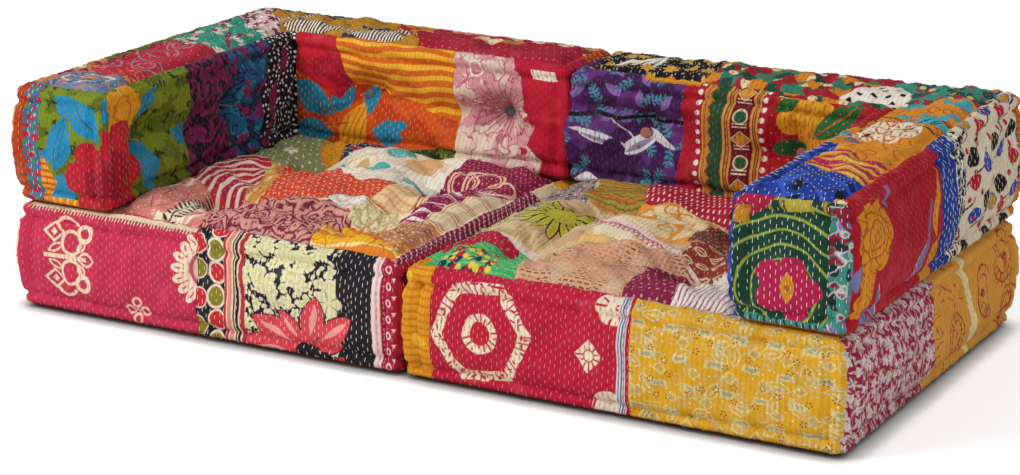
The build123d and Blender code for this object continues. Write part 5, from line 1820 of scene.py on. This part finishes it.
def laid_on(cushion, flat, up, across, outward, chosen, length, rng):
    """Guides lifted from the flat form onto the stuffed one."""
    reach = length * 0.4
    middle = cushion.shaped(flat)
    before = cushion.shaped(flat - up * reach)
    after = cushion.shaped(flat + up * reach)
    beside = cushion.shaped(flat + across * 3) - middle
    along = after - before
    stretch = np.linalg.norm(along, axis=1) / (2 * reach)
    out = unit(np.cross(along, beside))
    out *= np.sign((out * outward).sum(1))[:, None]
    middle = middle * 0.5 + (before + after) * 0.25 + out * 0.35
    stretch = np.clip(stretch, 0.55, 1.1) * rng.uniform(0.8, 1.12, len(flat))
    return middle * cushion.mirror * MM, along * cushion.mirror, out * cushion.mirror, stretch, chosen


def lay_stitches(name, guides, tree, sizes):
    """Runs the stitch tree over the guides and keeps the result as a plain mesh."""
    place, along, outward, stretch, chosen = guides
    mesh = bpy.data.meshes.new(name + "_guides")
    mesh.from_pydata(place, [], [])
    mesh.attributes.new("along", "FLOAT_VECTOR", "POINT").data.foreach_set("vector", along.ravel())
    mesh.attributes.new("outward", "FLOAT_VECTOR", "POINT").data.foreach_set("vector", outward.ravel())
    mesh.attributes.new("stretch", "FLOAT", "POINT").data.foreach_set("value", stretch)
    mesh.attributes.new("thread", "INT", "POINT").data.foreach_set("value", chosen.astype(np.int32))
    guide = in_scene(name + "_guides", mesh)
    modifier = guide.modifiers.new("stitches", "NODES")
    modifier.node_group = tree
    values = sizes | {thread + " thread": thread_material(thread) for thread in THREADS}
    for item in tree.interface.items_tree:
        if item.item_type == "SOCKET" and item.in_out == "INPUT" and item.name in values:
            modifier[item.identifier] = values[item.name]
    graph = bpy.context.evaluated_depsgraph_get()
    made = bpy.data.meshes.new_from_object(guide.evaluated_get(graph), preserve_all_data_layers=True, depsgraph=graph)
    made.name = name
    bpy.data.objects.remove(guide)
    guide_facts = ("along", "outward", "stretch", "thread")
    for extra in [attribute.name for attribute in made.attributes if attribute.name in guide_facts]:
        made.attributes.remove(made.attributes[extra])
    return made


def in_scene(name, data):
    thing = bpy.data.objects.new(name, data)
    bpy.context.scene.collection.objects.link(thing)
    return thing


def show(name, mesh, body):
    """Puts a finished mesh in the scene, riding on its body."""
    if not len(mesh.polygons):
        raise RuntimeError(name + " has no faces")
    piece = in_scene(name, mesh)
    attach(piece, body)
    return piece


# Covered buttons


BUTTON_TURNS, BUTTON_RINGS, BUTTON_GATHERS = 28, 9, 14

# How far a button's middle stands off the bottom of its pit
BUTTON_LIFT = 6.0

# Height of a button's underside as a share of its dome
BUTTON_UNDERSIDE = 0.6


def button_material(name, colour):
    if name in bpy.data.materials:
        return bpy.data.materials[name]
    material, tree, shader = new_material(name)
    weave = grain(tree, 900)
    dye = mixed(tree, grain(tree, 120), darker(colour, 0.55), colour)
    wire(tree, shader, {"Base Color": mixed(tree, weave, dye, colour), "Roughness": 0.75})
    emboss(tree, shader, weave, 0.0006, 0.5)
    return material


def button_mesh(cushion, radius, rise):
    """Domed buttons with the gathers of their cloth, one in each tuft."""
    rng = np.random.default_rng(cushion.seed + 70)
    mesh = bpy.data.meshes.new(cushion.name + "_buttons")
    points, faces = [], []
    for tuft in cushion.tufts:
        normal = tuft.normal
        middle = cushion.shaped(tuft.place[None])[0]
        side = np.cross(normal, [0.3, 0.5, 0.8])
        side /= np.linalg.norm(side)
        other = np.cross(normal, side)
        tilt = rng.normal(0, 0.06, 2)
        first = len(points)
        for level in range(BUTTON_RINGS):
            swing = math.pi * (level + 1) / (BUTTON_RINGS + 1)
            for turn in range(BUTTON_TURNS):
                angle = 2 * math.pi * turn / BUTTON_TURNS
                gather = 1 + 0.035 * math.cos(BUTTON_GATHERS * angle) * math.sin(swing) ** 2
                reach = radius * math.sin(swing) ** 0.8 * gather
                height = rise * math.cos(swing) * (1.0 if level < BUTTON_RINGS / 2 else BUTTON_UNDERSIDE)
                height += reach * (tilt[0] * math.cos(angle) + tilt[1] * math.sin(angle))
                spot = middle + side * reach * math.cos(angle) + other * reach * math.sin(angle)
                points.append(spot + normal * (height + BUTTON_LIFT))
        top, bottom = len(points), len(points) + 1
        points.append(middle + normal * (rise * 0.93 + BUTTON_LIFT))
        points.append(middle - normal * (rise * BUTTON_UNDERSIDE - BUTTON_LIFT))
        last = first + (BUTTON_RINGS - 1) * BUTTON_TURNS
        for ring_start in range(first, last, BUTTON_TURNS):
            for turn in range(BUTTON_TURNS):
                a, b = ring_start + turn, ring_start + (turn + 1) % BUTTON_TURNS
                faces.append((a, a + BUTTON_TURNS, b + BUTTON_TURNS, b))
        for turn in range(BUTTON_TURNS):
            after = (turn + 1) % BUTTON_TURNS
            faces.append((top, first + turn, first + after))
            faces.append((bottom, last + after, last + turn))
    mesh.from_pydata(np.array(points) * cushion.mirror * MM, [], faces)
    bm = bmesh.new()
    bm.from_mesh(mesh)
    bmesh.ops.recalc_face_normals(bm, faces=bm.faces)
    bm.to_mesh(mesh)
    bm.free()
    mesh.shade_smooth()
    return mesh


# Twine and felt


def fibre_material(name, colour, scale):
    material, tree, shader = new_material(name)
    fibre = grain(tree, scale, 4)
    light = linear(colour)
    wire(tree, shader, {"Base Color": mixed(tree, fibre, darker(light, 0.6), light), "Roughness": 0.9})
    emboss(tree, shader, fibre, 0.0005)
    return material


# Stage


CAMERA_PLACE = Vector((2.2754, -4.2562, 1.5580))
CAMERA_YAW = math.radians(28.223)
CAMERA_PITCH = math.radians(16.297)
CAMERA_ROLL = math.radians(0.554)
CAMERA_FOCAL_PIXELS = 2764.4
PHOTO_WIDTH_PIXELS = 1020
SENSOR_WIDTH = 36
FLOOR_REACH = 30
FLOOR_GLOW = 0.48
WHITE = (1, 1, 1, 1)

# How far from the cushions the painted contact shadow on the floor reaches, how fast it darkens, and its colour right
# under them
CONTACT_REACH = 0.045
CONTACT_FALL = 1.6
CONTACT_SHADE = (0.02, 0.02, 0.02, 1.0)


def add_camera():
    data = bpy.data.cameras.new("camera")
    data.sensor_width = SENSOR_WIDTH
    data.lens = CAMERA_FOCAL_PIXELS * SENSOR_WIDTH / PHOTO_WIDTH_PIXELS
    data.clip_end = 100
    camera = in_scene("camera", data)
    forward = Vector((
        -math.sin(CAMERA_YAW) * math.cos(CAMERA_PITCH),
        math.cos(CAMERA_YAW) * math.cos(CAMERA_PITCH),
        -math.sin(CAMERA_PITCH),
    ))
    right = Vector((math.cos(CAMERA_YAW), math.sin(CAMERA_YAW), 0))
    up = right.cross(forward)
    tilted_right = right * math.cos(CAMERA_ROLL) + up * math.sin(CAMERA_ROLL)
    tilted_up = up * math.cos(CAMERA_ROLL) - right * math.sin(CAMERA_ROLL)
    turn = Matrix((tilted_right, tilted_up, -forward)).transposed().to_4x4()
    camera.matrix_world = Matrix.Translation(CAMERA_PLACE) @ turn
    bpy.context.scene.camera = camera


def add_lamp(name, place, target, power, size):
    light = bpy.data.lights.new(name, "AREA")
    light.energy = power
    light.size = size
    lamp = in_scene(name, light)
    lamp.location = place
    lamp.rotation_euler = (Vector(target) - lamp.location).to_track_quat("-Z", "Y").to_euler()


def add_world(strength):
    world = bpy.data.worlds.new("studio")
    bpy.context.scene.world = world
    world.use_nodes = True
    tree = world.node_tree
    soft = tree.nodes["Background"]
    wire(tree, soft, {"Color": WHITE, "Strength": strength})
    path = tree.nodes.new("ShaderNodeLightPath")
    backdrop = add_node(tree, "ShaderNodeBackground", {"Strength": 1})
    mix = add_node(tree, "ShaderNodeMixShader", {
        0: path.outputs["Is Camera Ray"], 1: soft.outputs[0], 2: backdrop.outputs[0],
    })
    wire(tree, tree.nodes["World Output"], {"Surface": mix.outputs[0]})


def add_floor(colour):
    """A pale floor that is white away from the shadows. Near each cushion an ambient occlusion node paints a contact
    shadow into its colour and its glow.
    """
    mesh = bpy.data.meshes.new("floor")
    far = FLOOR_REACH
    mesh.from_pydata([(-far, -far, 0), (far, -far, 0), (far, far, 0), (-far, far, 0)], [], [(0, 1, 2, 3)])
    material, tree, shader = new_material("paper_floor")
    # Painted contact shadow: the ambient occlusion darkens the floor's colour towards CONTACT_SHADE and dims its glow
    # near each cushion
    contact = add_node(tree, "ShaderNodeAmbientOcclusion", {"Distance": CONTACT_REACH}, samples=4)
    outside_painted_shadow = Field(tree, contact.outputs["AO"]).op("POWER", CONTACT_FALL)
    paper = mixed(tree, outside_painted_shadow, CONTACT_SHADE, tuple(colour) + (1.0,))
    wire(tree, shader, {"Base Color": paper, "Roughness": 1.0, "Specular IOR Level": 0.0})
    path = tree.nodes.new("ShaderNodeLightPath")
    strength = Field(tree, path.outputs["Is Camera Ray"]) * FLOOR_GLOW * outside_painted_shadow
    glow = add_node(tree, "ShaderNodeEmission", {"Color": WHITE, "Strength": strength})
    lit = add_node(tree, "ShaderNodeAddShader", {0: shader.outputs[0], 1: glow.outputs[0]})
    wire(tree, tree.nodes["Material Output"], {"Surface": lit.outputs[0]})
    mesh.materials.append(material)
    in_scene("floor", mesh)


# Sizes and colours to change


def length(name, description, size):
    return bpy.props.FloatProperty(name=name, description=description, default=size * MM, unit="LENGTH", precision=4)


def share(name, description, value):
    return bpy.props.FloatProperty(name=name, description=description, default=value, min=0, max=1, subtype="FACTOR")


def power(name, description, watts):
    return bpy.props.FloatProperty(name=name, description=description, default=watts, min=0, unit="POWER")


def tint(name, description, colour):
    return bpy.props.FloatVectorProperty(name=name, description=description, default=colour, size=3, subtype="COLOR")


class CushionSettings(bpy.types.PropertyGroup):
    cloth_step: length("Cloth step", "Size of the squares that each cover is made of", 6)
    seam_depth: length("Seam depth", "How far a patch seam sinks into the cloth", 1.3)
    seat_crown: length("Seat crown", "Rise of the sitting part between its tufts", 31)
    bolster_crown: length("Bolster crown", "Rise of the top of a bolster", 10.5)
    seat_pit: length("Seat tuft depth", "Depth of each seat tuft below the crown", 47)
    bolster_pit: length("Bolster tuft depth", "Depth of each bolster tuft", 40)
    groove_place: length("Edge stitching", "Distance of the edge stitching from the edge, round the roll", 27)
    groove_width: length("Groove width", "Width of the groove that the edge stitching pulls in", 6.5)
    groove_depth: length("Groove depth", "Depth of that groove", 9)
    roll_rise: length("Roll rise", "How far the rolled edge stands out", 3)
    gather_depth: length("Gather depth", "Depth of the creases that run away from the edge stitching", 2.2)
    top_folds: length("Top folds", "Height of the folds across the top of a bolster", 3)
    lumps: length("Stuffing lumps", "Height of the unevenness of the stuffing", 3.2)
    creases: length("Creases", "Height of the creases of the quilted cloth", 2)
    wrinkles: length("Wrinkles", "Height of the finest wrinkles", 0.8)
    pleat_share: share("Pleats", "Height of the pleats that fan out of a tuft, as a share of its depth", 0.32)
    valley_share: share("Valleys", "Depth of the dip between two tufts, as a share of their depth", 0.44)
    seed: bpy.props.IntProperty(name="Seed", description="Changes how the stuffing and the cloth fall", default=0)


class StitchSettings(bpy.types.PropertyGroup):
    row_spacing: length("Row spacing", "Distance between two rows of running stitches", STITCH_ROW)
    stitch_length: length("Stitch length", "Length of one stitch", 9.5)
    stitch_gap: length("Stitch gap", "Cloth between two stitches of a row", 5.5)
    thread_width: length("Thread width", "Width of the thread", 1.5)
    thread_rise: length("Thread rise", "Thickness of the thread", 1.1)
    whip_pitch: length("Whip stitch pitch", "Distance between two whip stitches of the closing seam", 7)
    whip_length: length("Whip stitch length", "Length of one whip stitch", 13)


class ButtonSettings(bpy.types.PropertyGroup):
    rise: length("Button rise", "Height of a button's dome", 7)
    seat_colour: tint("Seat buttons", "Cloth of the buttons of both seats", linear("#cdb9a0")[:3])
    left_colour: tint("Left bolster buttons", "Cloth of the buttons of the left bolster", linear("#5d6b70")[:3])
    right_colour: tint("Right bolster buttons", "Cloth of the buttons of the right bolster", linear("#b56a62")[:3])


class StageSettings(bpy.types.PropertyGroup):
    sky: bpy.props.FloatProperty(
        name="Soft light", description="Strength of the light from all round", default=0.45, min=0)
    key: power("Key lamp", "Power of the large lamp in front on the left", 145)
    fill: power("Fill lamp", "Power of the lamp on the right", 30)
    floor: tint("Floor", "Colour of the floor", (0.96, 0.96, 0.96))


def in_millimetres(settings):
    """The lengths of a settings group in millimetres, and the rest as it is."""
    values = {}
    for name, prop in settings.bl_rna.properties.items():
        if name not in ("rna_type", "name"):
            value = getattr(settings, name)
            values[name] = value / MM if prop.unit == "LENGTH" else value
    return SimpleNamespace(**values)


def cushion_named(name):
    build = seat if name.endswith("seat") else bolster
    return build(name, in_millimetres(bpy.context.scene.lounge_cushions))


def sew(name, parts):
    """One cushion's cover, in place of its panels, bands and filling."""
    cushion = cushion_named(name)
    cover = make_cover(cushion, cushion.feel.cloth_step, cushion.feel.seam_depth)
    piece = show(name + "_cover", cover, name)
    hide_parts(*(name + "_" + part for part in parts))


SEAT_PARTS = ["top_panel", "base_panel", "front_band", "outer_band", "back_band", "inner_band", "filling"]
BOLSTER_PARTS = [
    "arm_top_panel", "back_top_panel", "arm_base_panel", "back_base_panel", "arm_front_band", "arm_outer_band",
    "back_outer_band", "back_end_band", "back_inner_band", "arm_inner_band", "arm_filling", "back_filling",
]
CUSHIONS = ("left_seat", "right_seat", "left_bolster", "right_bolster")


class LOUNGE_OT_left_seat(bpy.types.Operator):
    """Sew and stuff the left seat cushion"""
    bl_idname = "lounge.left_seat"
    bl_label = "Left seat"

    def execute(self, context):
        sew("left_seat", SEAT_PARTS)
        return {"FINISHED"}


class LOUNGE_OT_right_seat(bpy.types.Operator):
    """Sew and stuff the right seat cushion"""
    bl_idname = "lounge.right_seat"
    bl_label = "Right seat"

    def execute(self, context):
        sew("right_seat", SEAT_PARTS)
        return {"FINISHED"}


class LOUNGE_OT_left_bolster(bpy.types.Operator):
    """Sew and stuff the left L-shaped bolster"""
    bl_idname = "lounge.left_bolster"
    bl_label = "Left bolster"

    def execute(self, context):
        sew("left_bolster", BOLSTER_PARTS)
        return {"FINISHED"}


class LOUNGE_OT_right_bolster(bpy.types.Operator):
    """Sew and stuff the right L-shaped bolster"""
    bl_idname = "lounge.right_bolster"
    bl_label = "Right bolster"

    def execute(self, context):
        sew("right_bolster", BOLSTER_PARTS)
        return {"FINISHED"}


class LOUNGE_OT_stitches(bpy.types.Operator):
    """Lay the running stitches on every cover"""
    bl_idname = "lounge.stitches"
    bl_label = "Running stitches"

    def execute(self, context):
        made = in_millimetres(context.scene.lounge_stitches)
        tree = stitch_tree()
        sizes = {
            "Stitch length": made.stitch_length * MM,
            "Thread width": made.thread_width * MM,
            "Thread rise": made.thread_rise * MM,
        }
        for name in CUSHIONS:
            guides = stitch_guides(cushion_named(name), made.row_spacing, made.stitch_length, made.stitch_gap)
            show(name + "_stitches", lay_stitches(name + "_stitches", guides, tree, sizes), name)
        return {"FINISHED"}


CLOSING_SEAM_LEFT, CLOSING_SEAM_RIGHT = 432, 788
CLOSING_SEAM_DROP = 5.0
WHIP_WIDTH, WHIP_RISE = 3.4, 2.6


class LOUNGE_OT_closing_seam(bpy.types.Operator):
    """Whip the closing seam along the front of the left seat"""
    bl_idname = "lounge.closing_seam"
    bl_label = "Closing seam"

    def execute(self, context):
        made = in_millimetres(context.scene.lounge_stitches)
        cushion = cushion_named("left_seat")
        rng = np.random.default_rng(5)
        across = np.arange(CLOSING_SEAM_LEFT, CLOSING_SEAM_RIGHT, made.whip_pitch)
        flat = np.full((len(across), 3), [0, FRONT_SEAM, SEAT_TOP - CLOSING_SEAM_DROP])
        flat[:, 0] = across
        flat[:, 2] += rng.normal(0, 1.2, len(flat))
        up, side, out = np.array([0.12, 0, 1.0]), np.array([1.0, 0, 0]), np.array([0, -1.0, 0.3])
        ways = [np.tile(way, (len(flat), 1)) for way in (up, side, out)]
        guides = laid_on(cushion, flat, *ways, np.zeros(len(flat), int), made.whip_length, rng)
        sizes = {
            "Stitch length": made.whip_length * MM, "Thread width": WHIP_WIDTH * MM, "Thread rise": WHIP_RISE * MM,
        }
        mesh = lay_stitches("left_seat_closing_seam", guides, stitch_tree(), sizes)
        show("left_seat_closing_seam", mesh, "left_seat")
        return {"FINISHED"}


class LOUNGE_OT_buttons(bpy.types.Operator):
    """Cover and set the tuft buttons"""
    bl_idname = "lounge.buttons"
    bl_label = "Tuft buttons"

    def execute(self, context):
        made = context.scene.lounge_buttons
        rise = in_millimetres(made).rise
        colours = {
            "left_seat": made.seat_colour, "right_seat": made.seat_colour,
            "left_bolster": made.left_colour, "right_bolster": made.right_colour,
        }
        for name in CUSHIONS:
            mesh = button_mesh(cushion_named(name), BUTTON_RADIUS, rise)
            mesh.materials.append(button_material(name + "_button_cloth", tuple(colours[name]) + (1.0,)))
            piece = show(name + "_covered_buttons", mesh, name)
            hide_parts(name + "_buttons")
        return {"FINISHED"}


class LOUNGE_OT_tuft_lines(bpy.types.Operator):
    """Finish the twine and the felt discs inside each cushion"""
    bl_idname = "lounge.tuft_lines"
    bl_label = "Twine and felt"

    def execute(self, context):
        for part, material in (
            ("_twine", fibre_material("tuft_twine", "#cbb58c", 1400)),
            ("_anchors", fibre_material("anchor_felt", "#8f8578", 500)),
        ):
            for cushion in CUSHIONS:
                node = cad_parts[cushion + part]
                node.data.materials.clear()
                node.data.materials.append(material)
        return {"FINISHED"}


class LOUNGE_OT_stage(bpy.types.Operator):
    """Set the camera, the floor and the studio light"""
    bl_idname = "lounge.stage"
    bl_label = "Stage"

    def execute(self, context):
        stage = context.scene.lounge_stage
        context.scene.view_settings.view_transform = "Standard"
        add_camera()
        add_world(stage.sky)
        add_lamp("key", (-2.6, -3.2, 3.4), (0, 0, 0.2), stage.key, 2.4)
        add_lamp("fill", (3.6, -2.2, 2.2), (0.2, 0, 0.2), stage.fill, 2.0)
        add_floor(stage.floor)
        return {"FINISHED"}


class LOUNGE_PT_sidebar(bpy.types.Panel):
    bl_idname = "LOUNGE_PT_sidebar"
    bl_label = "Floor lounge"
    bl_space_type = "VIEW_3D"
    bl_region_type = "UI"
    bl_category = "Floor lounge"

    def draw(self, context):
        layout = self.layout
        scene = context.scene
        for group in (scene.lounge_cushions, scene.lounge_stitches, scene.lounge_buttons, scene.lounge_stage):
            area = layout.box()
            for name in group.bl_rna.properties.keys():
                if name not in ("rna_type", "name"):
                    area.prop(group, name)
        for operator in OPERATORS:
            layout.operator(operator.bl_idname)


SETTINGS = {
    "lounge_cushions": CushionSettings,
    "lounge_stitches": StitchSettings,
    "lounge_buttons": ButtonSettings,
    "lounge_stage": StageSettings,
}
OPERATORS = (
    LOUNGE_OT_stage, LOUNGE_OT_left_seat, LOUNGE_OT_right_seat, LOUNGE_OT_left_bolster, LOUNGE_OT_right_bolster,
    LOUNGE_OT_stitches, LOUNGE_OT_closing_seam, LOUNGE_OT_buttons, LOUNGE_OT_tuft_lines,
)


def register():
    for group in SETTINGS.values():
        bpy.utils.register_class(group)
    for name, group in SETTINGS.items():
        setattr(bpy.types.Scene, name, bpy.props.PointerProperty(type=group))
    for operator in OPERATORS:
        bpy.utils.register_class(operator)
    bpy.utils.register_class(LOUNGE_PT_sidebar)


def unregister():
    bpy.utils.unregister_class(LOUNGE_PT_sidebar)
    for operator in reversed(OPERATORS):
        bpy.utils.unregister_class(operator)
    for name, group in SETTINGS.items():
        delattr(bpy.types.Scene, name)
        bpy.utils.unregister_class(group)


def main():
    register()
    bpy.ops.lounge.stage()
    bpy.ops.lounge.left_seat()
    bpy.ops.lounge.right_seat()
    bpy.ops.lounge.left_bolster()
    bpy.ops.lounge.right_bolster()
    bpy.ops.lounge.stitches()
    bpy.ops.lounge.closing_seam()
    bpy.ops.lounge.buttons()
    bpy.ops.lounge.tuft_lines()


if __name__ == "__main__":
    main()
